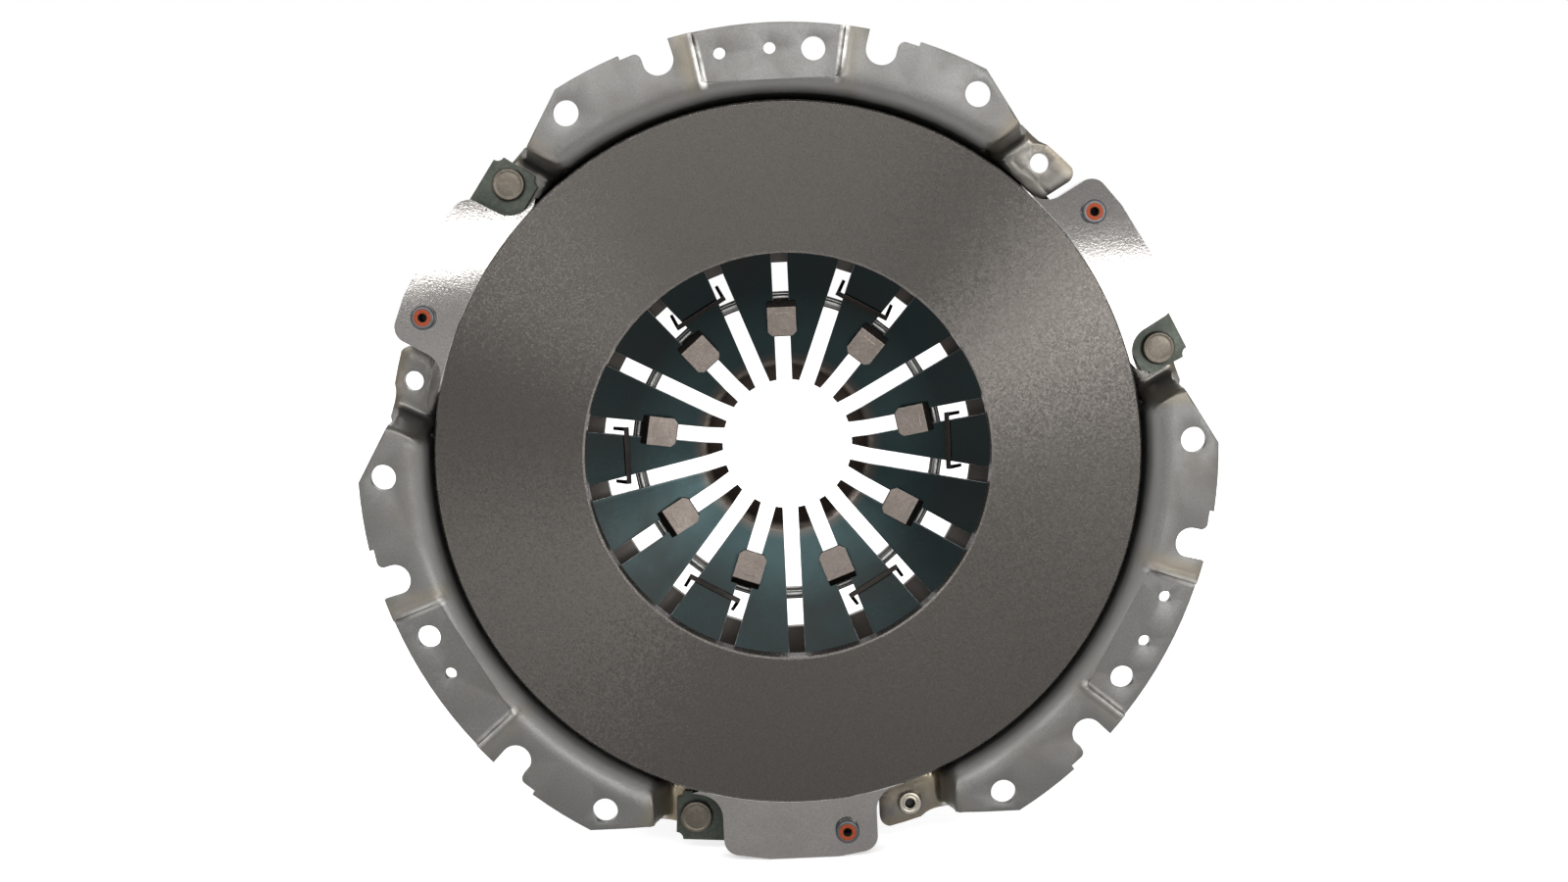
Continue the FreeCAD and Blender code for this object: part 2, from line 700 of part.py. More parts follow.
def strap_spot(angle, along="0"):
    """The placement of a strap's own frame: its start, with X towards the lug rivet."""
    x = number(STRAP_START[0] + " + (" + along + ") * cos(strap_tilt)")
    z = number(STRAP_START[1] + " - (" + along + ") * sin(strap_tilt)")
    turn = FreeCAD.Rotation(FreeCAD.Vector(0, 1, 0), 270.0 - angle)
    lean = FreeCAD.Rotation(FreeCAD.Vector(0, 1, 0), number("strap_tilt"))
    return FreeCAD.Placement(turn.multVec(FreeCAD.Vector(x, 0, z)), turn.multiply(lean))


# Strap leaf: a spring steel strip, flat at both rivets and sloped between
def make_strap_leaf(label, angle, leaf):
    body = new_body(label)
    start = "tab_depth - strap_leaf * {}".format(LEAF_COUNT - leaf)
    end = LUG_BACK + " + strap_leaf * {}".format(leaf)
    far = "strap_pitch + strap_overhang"
    side = new_sketch(body, "XY_Plane")
    outline(side, [
        ("-strap_overhang", start),
        ("strap_flat", start),
        ("strap_pitch - strap_flat", end),
        (far, end),
        (far, end + " + strap_leaf"),
        ("strap_pitch - strap_flat", end + " + strap_leaf"),
        ("strap_flat", start + " + strap_leaf"),
        ("-strap_overhang", start + " + strap_leaf"),
    ])
    extrude(body, side, "strap_width", "Pad", midplane=True)
    plan = new_sketch(body, "XZ_Plane")
    for along in ("0", "strap_pitch"):
        circle(plan, along, "0", "rivet_shank_radius + rivet_clearance")
    for out in ("", "-"):
        circle(plan, "-strap_overhang", out + "strap_width / 2", "strap_notch")
        circle(plan, far, out + "strap_width / 2", "strap_notch")
    extrude(body, plan, "tab_depth * 2", "Pocket")
    body.Placement = strap_spot(angle)
    doc.recompute()
    return body


def make_rivet(label, section, place):
    """A rivet turned from its half section, drawn as radius and depth, and set in place."""
    body = new_body(label)
    sketch = new_sketch(body, "XY_Plane")
    outline(sketch, section)
    revolve(body, sketch)
    body.Placement = place
    doc.recompute()
    return body


# Strap rivet: a wide domed head over the strap, set behind the tab
def make_strap_rivet(label, angle):
    top = "tab_depth - " + STRAP_STACK
    behind = "tab_depth + cover_sheet"
    section = [
        ("0", top + " - strap_rivet_head_height"),
        ("strap_rivet_head_radius - 0.9", top + " - strap_rivet_head_height"),
        ("strap_rivet_head_radius", top + " - strap_rivet_head_height + 0.9"),
        ("strap_rivet_head_radius", top),
        ("rivet_shank_radius", top),
        ("rivet_shank_radius", behind),
        ("strap_rivet_tail_radius", behind),
        ("strap_rivet_tail_radius - 1.2", behind + " + strap_rivet_tail_height"),
        ("0", behind + " + strap_rivet_tail_height"),
    ]
    return make_rivet(label, section, strap_spot(angle))


# Lug rivet: a collar standing out of the lug, bored part way, set behind the strap
def make_lug_rivet(label, angle):
    behind = LUG_BACK + " + " + STRAP_STACK
    bottom = "lug_face_depth - lug_rivet_collar_height + rivet_bore_depth"
    section = [
        ("0", bottom),
        ("lug_rivet_bore_radius", bottom),
        ("lug_rivet_bore_radius", "lug_face_depth - lug_rivet_collar_height"),
        ("lug_rivet_collar_radius - 0.5", "lug_face_depth - lug_rivet_collar_height"),
        ("lug_rivet_collar_radius", "lug_face_depth - lug_rivet_collar_height + 0.5"),
        ("lug_rivet_collar_radius", "lug_face_depth"),
        ("rivet_shank_radius", "lug_face_depth"),
        ("rivet_shank_radius", behind),
        ("lug_rivet_tail_radius", behind),
        ("lug_rivet_tail_radius - 1", behind + " + lug_rivet_tail_height"),
        ("0", behind + " + lug_rivet_tail_height"),
    ]
    return make_rivet(label, section, strap_spot(angle, "strap_pitch"))


# Balance rivet: a light rivet, bored part way, set in one tab hole
def make_balance_rivet():
    angle = BAY_ANGLES[2] + number("tab_hole_angle")
    spin = FreeCAD.Rotation(FreeCAD.Vector(0, 1, 0), -angle)
    base = spin.multVec(FreeCAD.Vector(number("tab_hole_circle"), 0, 0))
    shank = "tab_hole_radius - rivet_clearance"
    behind = "tab_depth + cover_sheet"
    bottom = "tab_depth - balance_collar_height + rivet_bore_depth / 2"
    section = [
        ("0", bottom),
        ("balance_bore_radius", bottom),
        ("balance_bore_radius", "tab_depth - balance_collar_height"),
        ("balance_collar_radius - 0.5", "tab_depth - balance_collar_height"),
        ("balance_collar_radius", "tab_depth - balance_collar_height + 0.5"),
        ("balance_collar_radius", "tab_depth"),
        (shank, "tab_depth"),
        (shank, behind),
        ("balance_tail_radius", behind),
        ("balance_tail_radius - 0.8", behind + " + balance_tail_height"),
        ("0", behind + " + balance_tail_height"),
    ]
    return make_rivet("balance_rivet", section, FreeCAD.Placement(base, spin))


def make_all():
    """Every node's name with the document objects that it holds."""
    nodes = {}
    for made in (make_cover(), make_pressure_plate(), make_spring(), make_pivot_wire()):
        nodes[made.Label] = [made]
    studs = int(SIZES["stud_count"])
    for i in range(studs):
        made = make_stud(i + 1, FIRST_STUD_ANGLE - 360.0 / studs * i)
        nodes[made.Label] = [made]
    for i, angle in enumerate(CLIP_ANGLES, start=1):
        made = make_clip(i, angle)
        nodes[made.Label] = [made]
    for name, angle in zip(BAY_NAMES, BAY_ANGLES):
        pack = "drive_strap_" + name
        nodes[pack] = [
            make_strap_leaf("{}_leaf_{}".format(pack, leaf + 1), angle, leaf)
            for leaf in range(LEAF_COUNT)
        ]
        for made in (make_strap_rivet("strap_rivet_" + name, angle),
                     make_lug_rivet("lug_rivet_" + name, angle)):
            nodes[made.Label] = [made]
    nodes["balance_rivet"] = [make_balance_rivet()]
    return nodes


def check_document():
    """Stops if any object of the document failed."""
    for item in doc.Objects:
        if "Invalid" in item.State or "Error" in item.State:
            raise RuntimeError(item.Label + " is invalid")


def write_nodes(nodes):
    """Checks each node's shape and writes it as its own STEP file."""
    os.makedirs("parts", exist_ok=True)
    for label, items in nodes.items():
        shapes = [item.Shape for item in items]
        for shape in shapes:
            if shape.isNull() or not shape.isValid():
                raise RuntimeError(label + " has a bad shape")
        whole = shapes[0] if len(shapes) == 1 else Part.makeCompound(shapes)
        whole.exportStep("parts/{}.step".format(label))
        print(label, len(whole.Solids), "solids", round(whole.Volume / 1000.0, 2), "cm3")


doc.recompute()
nodes = make_all()
check_document()
write_nodes(nodes)
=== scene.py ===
import math

import bmesh
import bpy
import numpy
from bpy.props import FloatProperty, FloatVectorProperty, PointerProperty
from mathutils import Matrix, Vector


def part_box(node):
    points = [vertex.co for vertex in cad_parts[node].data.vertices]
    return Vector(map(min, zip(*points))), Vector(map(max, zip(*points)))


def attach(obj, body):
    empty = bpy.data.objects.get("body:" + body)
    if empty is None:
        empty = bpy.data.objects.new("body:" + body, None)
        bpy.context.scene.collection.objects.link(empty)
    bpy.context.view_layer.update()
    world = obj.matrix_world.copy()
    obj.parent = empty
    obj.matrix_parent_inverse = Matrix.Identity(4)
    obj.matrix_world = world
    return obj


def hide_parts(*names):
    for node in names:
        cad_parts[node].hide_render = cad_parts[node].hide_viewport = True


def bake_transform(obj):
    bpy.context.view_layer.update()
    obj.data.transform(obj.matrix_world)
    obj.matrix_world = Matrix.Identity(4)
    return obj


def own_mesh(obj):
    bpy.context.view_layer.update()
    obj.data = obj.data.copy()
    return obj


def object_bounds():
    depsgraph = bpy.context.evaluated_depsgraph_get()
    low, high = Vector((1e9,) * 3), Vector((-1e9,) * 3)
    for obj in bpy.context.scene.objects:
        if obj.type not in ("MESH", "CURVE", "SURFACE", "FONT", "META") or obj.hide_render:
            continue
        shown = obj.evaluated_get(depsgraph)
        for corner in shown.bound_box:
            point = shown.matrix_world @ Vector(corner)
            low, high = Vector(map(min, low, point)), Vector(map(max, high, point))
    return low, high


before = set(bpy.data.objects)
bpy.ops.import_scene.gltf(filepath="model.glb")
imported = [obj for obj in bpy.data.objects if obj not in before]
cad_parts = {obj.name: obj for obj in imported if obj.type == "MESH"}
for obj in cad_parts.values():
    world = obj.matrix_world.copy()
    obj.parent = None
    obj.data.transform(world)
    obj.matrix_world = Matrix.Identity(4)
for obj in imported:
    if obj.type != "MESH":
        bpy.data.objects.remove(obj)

bl_info = {
    "name": "Clutch cover assembly",
    "version": (1, 0, 0),
    "blender": (4, 5, 0),
    "location": "View3D > Sidebar > Clutch",
    "description": "Dresses the clutch cover, its pressure plate and its diaphragm spring",
    "category": "Object",
}

MM = 0.001
BOX_AT_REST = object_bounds()
BAYS = {"right": 30.0, "left": 150.0, "bottom": 270.0}
SEGMENTS = (90.0, 210.0, 330.0)
FINGERS = 18
STUDS = 9
CLIPS = 6
LEAVES = 3
SLOT_END = 99.0 * MM
PLATE_EDGE = 155.2 * MM
STUD_HEAD_END = 64.5 * MM
PANEL_HALF_ANGLE = 10.1
PANEL_RADIUS = 176.0 * MM

# The pressed sheet, in millimetres: each bay's trimmed edge and the flange's rolled bend
BAY_TRIM = 161.5
ROLL_RADIUS = 168.0
ROLL_BEND = 10.0

# The photograph's camera: turns in degrees, the way to it in millimetres, its lens in pixels
CAMERA_TURNS = {"X": 5.994, "Y": 0.327, "Z": 2.658}
CAMERA_AWAY = (1.904, -7.164, -894.56)
CAMERA_FOCAL = 2084.5
PHOTO_WIDTH = 1600.0
SENSOR_WIDTH = 36.0
FRICTION_FACE = 5.5

# Each lamp: angle round the axis and off it in degrees, distance, width and height in metres, watts
LAMPS = {
    "right_softbox": (20.0, 29.0, 1.4, 0.38, 0.38, 7.6),
    "right_strip": (-7.0, 16.9, 1.39, 0.26, 0.2, 1.75),
    "left_strip": (163.8, 14.5, 1.38, 0.3, 0.036, 1.0),
    "top_softbox": (107.0, 30.0, 1.4, 1.5, 0.45, 17.0),
    "back_softbox": (80.0, 145.0, 1.6, 1.2, 0.8, 12.0),
}


# Values that a user may change
class ClutchFinish(bpy.types.PropertyGroup):
    cover_colour: FloatVectorProperty(
        name="Cover", description="Grey phosphate coat of the stamped cover",
        subtype="COLOR", size=3, min=0.0, max=1.0, default=(0.094, 0.0925, 0.0892))
    tint_colour: FloatVectorProperty(
        name="Heat tint", description="Straw brown tint near the folds and on the tabs",
        subtype="COLOR", size=3, min=0.0, max=1.0, default=(0.15, 0.126, 0.088))
    iron_colour: FloatVectorProperty(
        name="Ground iron", description="Friction ring and lugs of the pressure plate",
        subtype="COLOR", size=3, min=0.0, max=1.0, default=(0.05, 0.0458, 0.0421))
    spring_colour: FloatVectorProperty(
        name="Blued spring", description="Scale on the diaphragm spring's fingers",
        subtype="COLOR", size=3, min=0.0, max=1.0, default=(0.0045, 0.008, 0.0084))
    stud_colour: FloatVectorProperty(
        name="Stud heads", description="Bare steel of the studs' flat heads",
        subtype="COLOR", size=3, min=0.0, max=1.0, default=(0.108, 0.092, 0.081))
    strap_colour: FloatVectorProperty(
        name="Drive straps", description="Tempered strip of the drive straps",
        subtype="COLOR", size=3, min=0.0, max=1.0, default=(0.033, 0.038, 0.031))
    paint_colour: FloatVectorProperty(
        name="Inspection paint", description="Orange-red dab on the lug rivets",
        subtype="COLOR", size=3, min=0.0, max=1.0, default=(0.2, 0.034, 0.009))


class ClutchSizes(bpy.types.PropertyGroup):
    edge_break: FloatProperty(
        name="Edge break", description="Width of the worn edge on machined pieces",
        subtype="DISTANCE", unit="LENGTH", min=0.0, default=0.45 * MM)
    sheet_break: FloatProperty(
        name="Sheet edge", description="Rounding of the cover's sheared edges",
        subtype="DISTANCE", unit="LENGTH", min=0.0, default=0.5 * MM)
    spring_thickness: FloatProperty(
        name="Spring thickness", description="Thickness of the diaphragm spring",
        subtype="DISTANCE", unit="LENGTH", min=0.0, default=3.2 * MM)
    slot_width: FloatProperty(
        name="Finger slot", description="Width of the slots between the fingers",
        subtype="DISTANCE", unit="LENGTH", min=0.0, default=7.1 * MM)
    leaf_thickness: FloatProperty(
        name="Strap leaf", description="Thickness of one leaf of a drive strap",
        subtype="DISTANCE", unit="LENGTH", min=0.0, default=0.9 * MM)
    smooth_angle: FloatProperty(
        name="Smooth angle", description="Faces that meet flatter than this are shaded as one",
        subtype="ANGLE", min=0.0, max=math.pi, default=math.radians(28.0))


def sizes():
    return bpy.context.scene.clutch_sizes


def clamped(value):
    return min(max(value, 0.0), 1.0)


# Node helpers
def add_node(tree, kind, **settings):
    node = tree.nodes.new(kind)
    for key, value in settings.items():
        setattr(node, key, value)
    return node


def set_input(node, name, value):
    node.inputs[name].default_value = value


def mix_colour(tree, factor, first, second):
    """Mixes two colours, each a socket or a plain colour, and returns the result's socket."""
    node = add_node(tree, "ShaderNodeMix", data_type="RGBA")
    tree.links.new(factor, node.inputs[0])
    for index, value in ((6, first), (7, second)):
        if isinstance(value, bpy.types.NodeSocket):
            tree.links.new(value, node.inputs[index])
        else:
            node.inputs[index].default_value = (*value, 1.0)
    return node.outputs[2]


def ramp(tree, source, low, high, first, second):
    """Maps a value from one range to another and returns the result's socket."""
    node = add_node(tree, "ShaderNodeMapRange", clamp=True)
    for name, value in (("From Min", low), ("From Max", high), ("To Min", first), ("To Max", second)):
        node.inputs[name].default_value = value
    tree.links.new(source, node.inputs["Value"])
    return node.outputs["Result"]


def chain(tree, source, steps):
    """Passes a value through a row of Math nodes, each with its own number."""
    for operation, number in steps:
        node = add_node(tree, "ShaderNodeMath", operation=operation)
        tree.links.new(source, node.inputs[0])
        if number is not None:
            node.inputs[1].default_value = number
        source = node.outputs["Value"]
    return source


def combine(tree, operation, first, second):
    node = add_node(tree, "ShaderNodeMath", operation=operation)
    tree.links.new(first, node.inputs[0])
    tree.links.new(second, node.inputs[1])
    return node.outputs["Value"]


def times(tree, first, second):
    return combine(tree, "MULTIPLY", first, second)


def share_of(tree, mask, share):
    """A mask brought down to a share of its strength."""
    return ramp(tree, mask, 0.0, 1.0, 0.0, share)


def off_value(tree, source, value):
    """How far a value is from a given one, whichever side it is on."""
    return chain(tree, source, [("SUBTRACT", value), ("ABSOLUTE", None)])


def object_place(tree):
    return add_node(tree, "ShaderNodeTexCoord").outputs["Object"]


def split_axes(tree, source):
    node = add_node(tree, "ShaderNodeSeparateXYZ")
    tree.links.new(source, node.inputs["Vector"])
    return node.outputs


def toned(colour, *shares):
    """A colour times one share, or times one share for each channel."""
    return [c * share for c, share in zip(colour, shares * 3)]


def new_group(name, inputs, outputs):
    """A shader node group with sockets for plain values, and its input and output nodes."""
    group = bpy.data.node_groups.new(name, "ShaderNodeTree")
    for label, value in inputs.items():
        socket = group.interface.new_socket(label, in_out="INPUT", socket_type="NodeSocketFloat")
        socket.default_value = value
    for label in outputs:
        group.interface.new_socket(label, in_out="OUTPUT", socket_type="NodeSocketFloat")
    return group, add_node(group, "NodeGroupInput"), add_node(group, "NodeGroupOutput")


def make_mottle_group():
    """Cloudy patches, from noise with several sizes of detail."""
    group, start, end = new_group("mottle", {"Patch size": 30.0, "Low": 0.4, "High": 0.65}, ["Mask"])
    noise = add_node(group, "ShaderNodeTexNoise", noise_dimensions="3D")
    set_input(noise, "Detail", 5.0)
    set_input(noise, "Roughness", 0.62)
    spread = add_node(group, "ShaderNodeMapRange", clamp=True, interpolation_type="SMOOTHSTEP")
    group.links.new(object_place(group), noise.inputs["Vector"])
    group.links.new(start.outputs["Patch size"], noise.inputs["Scale"])
    group.links.new(noise.outputs["Fac"], spread.inputs["Value"])
    group.links.new(start.outputs["Low"], spread.inputs["From Min"])
    group.links.new(start.outputs["High"], spread.inputs["From Max"])
    group.links.new(spread.outputs["Result"], end.inputs["Mask"])
    return group


def make_speckle_group():
    """Fine grains of a blasted, ground or phosphated surface: a height and a mask."""
    group, start, end = new_group("speckle", {"Grain": 900.0, "Pits": 400.0}, ["Height", "Mask"])
    grain = add_node(group, "ShaderNodeTexNoise")
    set_input(grain, "Detail", 2.0)
    pits = add_node(group, "ShaderNodeTexVoronoi", feature="F1")
    total = add_node(group, "ShaderNodeMath", operation="MULTIPLY_ADD")
    total.inputs[1].default_value = 0.5
    for texture, name in ((grain, "Grain"), (pits, "Pits")):
        group.links.new(object_place(group), texture.inputs["Vector"])
        group.links.new(start.outputs[name], texture.inputs["Scale"])
    group.links.new(pits.outputs["Distance"], total.inputs[0])
    group.links.new(grain.outputs["Fac"], total.inputs[2])
    group.links.new(total.outputs["Value"], end.inputs["Height"])
    group.links.new(grain.outputs["Fac"], end.inputs["Mask"])
    return group


def make_radius_group():
    """How far a point is from the clutch axis and behind the flange, in metres."""
    group, _, end = new_group("axis_radius", {}, ["Radius", "Depth"])
    axes = split_axes(group, object_place(group))
    flat = add_node(group, "ShaderNodeCombineXYZ")
    length = add_node(group, "ShaderNodeVectorMath", operation="LENGTH")
    group.links.new(axes["X"], flat.inputs["X"])
    group.links.new(axes["Z"], flat.inputs["Z"])
    group.links.new(flat.outputs["Vector"], length.inputs[0])
    group.links.new(length.outputs["Value"], end.inputs["Radius"])
    group.links.new(axes["Y"], end.inputs["Depth"])
    return group


def make_segment_group():
    """How far a point is from the creases beside a flange segment's middle panel, in metres
    across the crease, and how far round from the segment's middle it is, in degrees."""
    group, start, end = new_group(
        "segment_place", {"Crease angle": PANEL_HALF_ANGLE}, ["Off crease", "Turn"])
    axes = split_axes(group, object_place(group))
    degrees = chain(group, combine(group, "ARCTAN2", axes["Z"], axes["X"]), [
        ("DEGREES", None), ("ADD", 330.0), ("FLOORED_MODULO", 120.0), ("SUBTRACT", 60.0),
        ("ABSOLUTE", None)])
    group.links.new(degrees, end.inputs["Turn"])
    beside = combine(group, "SUBTRACT", degrees, start.outputs["Crease angle"])
    across = chain(group, beside, [("RADIANS", None), ("MULTIPLY", PANEL_RADIUS)])
    group.links.new(across, end.inputs["Off crease"])
    return group


def make_worn_edge_group():
    """Where an edge has been worn bright, from the mesh's own edge mark broken up by noise."""
    group, start, end = new_group("worn_edge", {"Break up": 250.0}, ["Mask"])
    mark = add_node(group, "ShaderNodeAttribute", attribute_name="edge_mark")
    noise = add_node(group, "ShaderNodeTexNoise")
    set_input(noise, "Detail", 3.0)
    spread = add_node(group, "ShaderNodeMapRange", clamp=True)
    set_input(spread, "From Min", 0.3)
    set_input(spread, "From Max", 0.62)
    group.links.new(object_place(group), noise.inputs["Vector"])
    group.links.new(start.outputs["Break up"], noise.inputs["Scale"])
    group.links.new(noise.outputs["Fac"], spread.inputs["Value"])
    both = times(group, spread.outputs["Result"], mark.outputs["Fac"])
    group.links.new(both, end.inputs["Mask"])
    return group


GROUP_MAKERS = {
    "mottle": make_mottle_group,
    "speckle": make_speckle_group,
    "axis_radius": make_radius_group,
    "worn_edge": make_worn_edge_group,
    "segment_place": make_segment_group,
}


def place_group(tree, name, **values):
    """Puts a shared effect into a material with its own values."""
    group = bpy.data.node_groups.get(name) or GROUP_MAKERS[name]()
    node = add_node(tree, "ShaderNodeGroup", node_tree=group)
    for key, value in values.items():
        node.inputs[key.replace("_", " ")].default_value = value
    return node


def cloudy(tree, size, low, high):
    """The mask of cloudy patches of a size."""
    return place_group(tree, "mottle", Patch_size=size, Low=low, High=high).outputs["Mask"]


def grainy(tree, speckle, colour, dark, light, low=0.3):
    """Two tones of a colour, dealt out grain by grain."""
    grain = ramp(tree, speckle.outputs["Mask"], low, 1.0 - low, 0.0, 1.0)
    return mix_colour(tree, grain, toned(colour, dark), toned(colour, light))


def rub_edges(tree, under, bare, share, break_up):
    """Lets the bare colour show on worn edges, over another finish."""
    edge = place_group(tree, "worn_edge", Break_up=break_up)
    return mix_colour(tree, share_of(tree, edge.outputs["Mask"], share), under, bare)


def new_material(name, **plain):
    """A material with its Principled shader, whose plain values go on the shader's sockets."""
    material = bpy.data.materials.new(name)
    material.use_nodes = True
    tree = material.node_tree
    shader = tree.nodes["Principled BSDF"]
    for key, value in plain.items():
        shader.inputs[key.replace("_", " ")].default_value = value
    return material, tree, shader


def bump(tree, shader, height, strength, distance):
    node = add_node(tree, "ShaderNodeBump")
    node.inputs["Strength"].default_value = strength
    node.inputs["Distance"].default_value = distance
    tree.links.new(height, node.inputs["Height"])
    tree.links.new(node.outputs["Normal"], shader.inputs["Normal"])


def phosphated_sheet(name, look):
    """Cover: mid grey phosphate, straw tint by folds and creases, worn edges; painted shade in the bays and
    deep in the dish, painted light on the rolled bend and low on the bottom tab, and painted highlights on
    the creases.
    """
    material, tree, shader = new_material(name, Metallic=0.75)
    grey, straw = look.cover_colour, look.tint_colour
    speckle = place_group(tree, "speckle", Grain=1400.0, Pits=700.0)
    cloud = cloudy(tree, 28.0, 0.42, 0.68)
    tan = cloudy(tree, 19.0, 0.33, 0.6)
    axis = place_group(tree, "axis_radius").outputs
    segment = place_group(tree, "segment_place", Crease_angle=PANEL_HALF_ANGLE).outputs
    radius, depth, turn, crease = axis["Radius"], axis["Depth"], segment["Turn"], segment["Off crease"]
    normal = add_node(tree, "ShaderNodeNewGeometry").outputs["Normal"]
    front = ramp(tree, split_axes(tree, normal)["Y"], -0.2, 0.2, 1.0, 0.0)
    height = split_axes(tree, object_place(tree))["Z"]

    grain = grainy(tree, speckle, grey, 0.86, 1.12)
    smoky = mix_colour(tree, share_of(tree, cloud, 0.35), grain, toned(grey, 0.86, 0.76, 0.64))
    # Painted light: the front of the rolled bend and its wall are painted much lighter, standing in for lamp
    # light on them.
    roll = times(tree, ramp(tree, radius, 0.157, 0.164, 0.85, 0.0), ramp(tree, turn, 34.0, 37.0, 1.0, 0.0))
    roll_painted_light = mix_colour(tree, times(tree, roll, front), smoky, toned(grey, 2.6))

    bay = times(tree, ramp(tree, turn, 36.5, 38.5, 0.0, 1.0), ramp(tree, radius, 0.147, 0.153, 0.0, 1.0))
    in_bay = times(tree, ramp(tree, depth, 0.006, 0.020, 0.0, 1.0), times(tree, bay, front))
    # Painted shade: front faces deep in each bay are painted darker, most of all near the wall.
    bay_painted_shade = mix_colour(tree, times(tree, in_bay, ramp(tree, radius, 0.158, 0.182, 0.9, 0.0)),
                      roll_painted_light, toned(grey, 0.45))
    # Straw heat tint on the bays' tabs, with painted light: the tint is strongest low down, to lighten the
    # bottom tab.
    tint_and_painted_lift = times(tree, times(tree, in_bay, tan), ramp(tree, height, -0.15, -0.10, 1.0, 0.1))
    tinted = mix_colour(tree, tint_and_painted_lift, bay_painted_shade, toned(straw, 1.35))
    rimmed = mix_colour(tree, times(tree, in_bay, ramp(tree, radius, 0.172, 0.182, 0.0, 0.55)),
                        tinted, toned(straw, 0.95, 0.85, 0.66))
    fold = times(tree, ramp(tree, off_value(tree, turn, 36.6), 0.5, 2.2, 1.0, 0.0),
                 ramp(tree, radius, 0.152, 0.162, 0.2, 1.0))
    golden = mix_colour(tree, share_of(tree, times(tree, fold, tan), 0.55), rimmed, toned(straw, 0.7))

    band = times(tree, ramp(tree, off_value(tree, crease, 0.0045), 0.001, 0.006, 1.0, 0.0),
                 ramp(tree, depth, 0.003, 0.006, 1.0, 0.0))
    scorched = mix_colour(tree, share_of(tree, times(tree, band, tan), 0.6), golden, toned(straw, 0.85))
    # Painted highlight: a light line along each crease ridge on front faces, brightest on the upper segments
    # and broken up in patches.
    ridge = times(tree, ramp(tree, off_value(tree, crease, 0.0), 0.0008, 0.0022, 1.0, 0.0),
                  ramp(tree, radius, 0.1625, 0.165, 0.0, 1.0))
    shown = times(tree, times(tree, ridge, front), ramp(tree, depth, 0.0035, 0.005, 1.0, 0.0))
    upper = times(tree, shown, ramp(tree, height, 0.0, 0.12, 0.35, 1.0))
    crease_painted_highlight = times(tree, upper, cloudy(tree, 45.0, 0.36, 0.62))
    highlighted_creases = mix_colour(tree, share_of(tree, crease_painted_highlight, 0.85), scorched, (0.68, 0.665, 0.63))

    worn = rub_edges(tree, highlighted_creases, (0.6, 0.59, 0.57), 0.6, 300.0)
    # Painted shade: front faces deep inside the dish are painted near black.
    inside = times(tree, ramp(tree, depth, 0.0265, 0.036, 0.0, 0.92), front)
    inside_painted_shade = mix_colour(tree, inside, worn, (0.02, 0.0155, 0.012))
    tree.links.new(inside_painted_shade, shader.inputs["Base Color"])
    rough = times(tree, ramp(tree, cloud, 0.0, 1.0, 0.42, 0.55), ramp(tree, in_bay, 0.0, 1.0, 1.0, 0.62))
    tree.links.new(rough, shader.inputs["Roughness"])
    bump(tree, shader, speckle.outputs["Height"], 0.12, 0.0002)
    return material


def ground_iron_face(name, look):
    """Pressure plate: face ground in circles, whose grains spread glare into fans."""
    material, tree, shader = new_material(name, Metallic=1.0, Anisotropic=0.95)
    axis = place_group(tree, "axis_radius").outputs
    turn = place_group(tree, "segment_place").outputs["Turn"]
    cells = add_node(tree, "ShaderNodeTexVoronoi", feature="F1")
    set_input(cells, "Scale", 1500.0)
    tree.links.new(object_place(tree), cells.inputs["Vector"])
    split = add_node(tree, "ShaderNodeSeparateColor")
    tree.links.new(cells.outputs["Color"], split.inputs["Color"])
    grain, twist = split.outputs["Red"], split.outputs["Green"]
    tone = mix_colour(tree, grain, toned(look.iron_colour, 0.9), toned(look.iron_colour, 1.1))
    worn = rub_edges(tree, tone, (0.62, 0.6, 0.57), 0.6, 160.0)
    # Painted highlight: a thin light line along the bore's edge on the face.
    bore_edge_highlight = times(tree, ramp(tree, axis["Radius"], 0.0899, 0.0901, 1.0, 0.0),
                ramp(tree, axis["Depth"], 0.0066, 0.0072, 1.0, 0.0))
    rimmed = mix_colour(tree, bore_edge_highlight, worn, toned(look.iron_colour, 3.4))
    # Painted highlight: a thin pale line where the face steps down beside the lugs.
    step = times(tree, ramp(tree, axis["Radius"], 0.15455, 0.1547, 0.0, 1.0),
                 ramp(tree, turn, 43.5, 45.5, 0.0, 1.0))
    step_highlighted = mix_colour(tree, step, rimmed, (0.5, 0.49, 0.47))
    tree.links.new(step_highlighted, shader.inputs["Base Color"])
    tree.links.new(ramp(tree, grain, 0.0, 1.0, 0.34, 0.23), shader.inputs["Roughness"])
    tree.links.new(ramp(tree, twist, 0.0, 1.0, 0.21, 0.29), shader.inputs["Anisotropic Rotation"])
    around = add_node(tree, "ShaderNodeTangent", direction_type="RADIAL", axis="Y")
    tree.links.new(around.outputs["Tangent"], shader.inputs["Tangent"])
    return material


def milled_iron_lug(name, look):
    """Lugs: machined flat, lighter than the ring, with dull patches and worn edges."""
    material, tree, shader = new_material(name, Metallic=1.0)
    speckle = place_group(tree, "speckle", Grain=1700.0, Pits=800.0)
    cloud = cloudy(tree, 60.0, 0.35, 0.7)
    fresh = toned(look.iron_colour, 3.65, 3.8, 3.95)
    tone = grainy(tree, speckle, fresh, 0.9, 1.22, 0.32)
    patchy = mix_colour(tree, share_of(tree, cloud, 0.3), tone, toned(fresh, 0.7))
    worn = rub_edges(tree, patchy, (0.62, 0.6, 0.57), 0.7, 160.0)
    tree.links.new(worn, shader.inputs["Base Color"])
    tree.links.new(ramp(tree, cloud, 0.0, 1.0, 0.062, 0.082), shader.inputs["Roughness"])
    bump(tree, shader, speckle.outputs["Height"], 0.035, 0.0002)
    return material


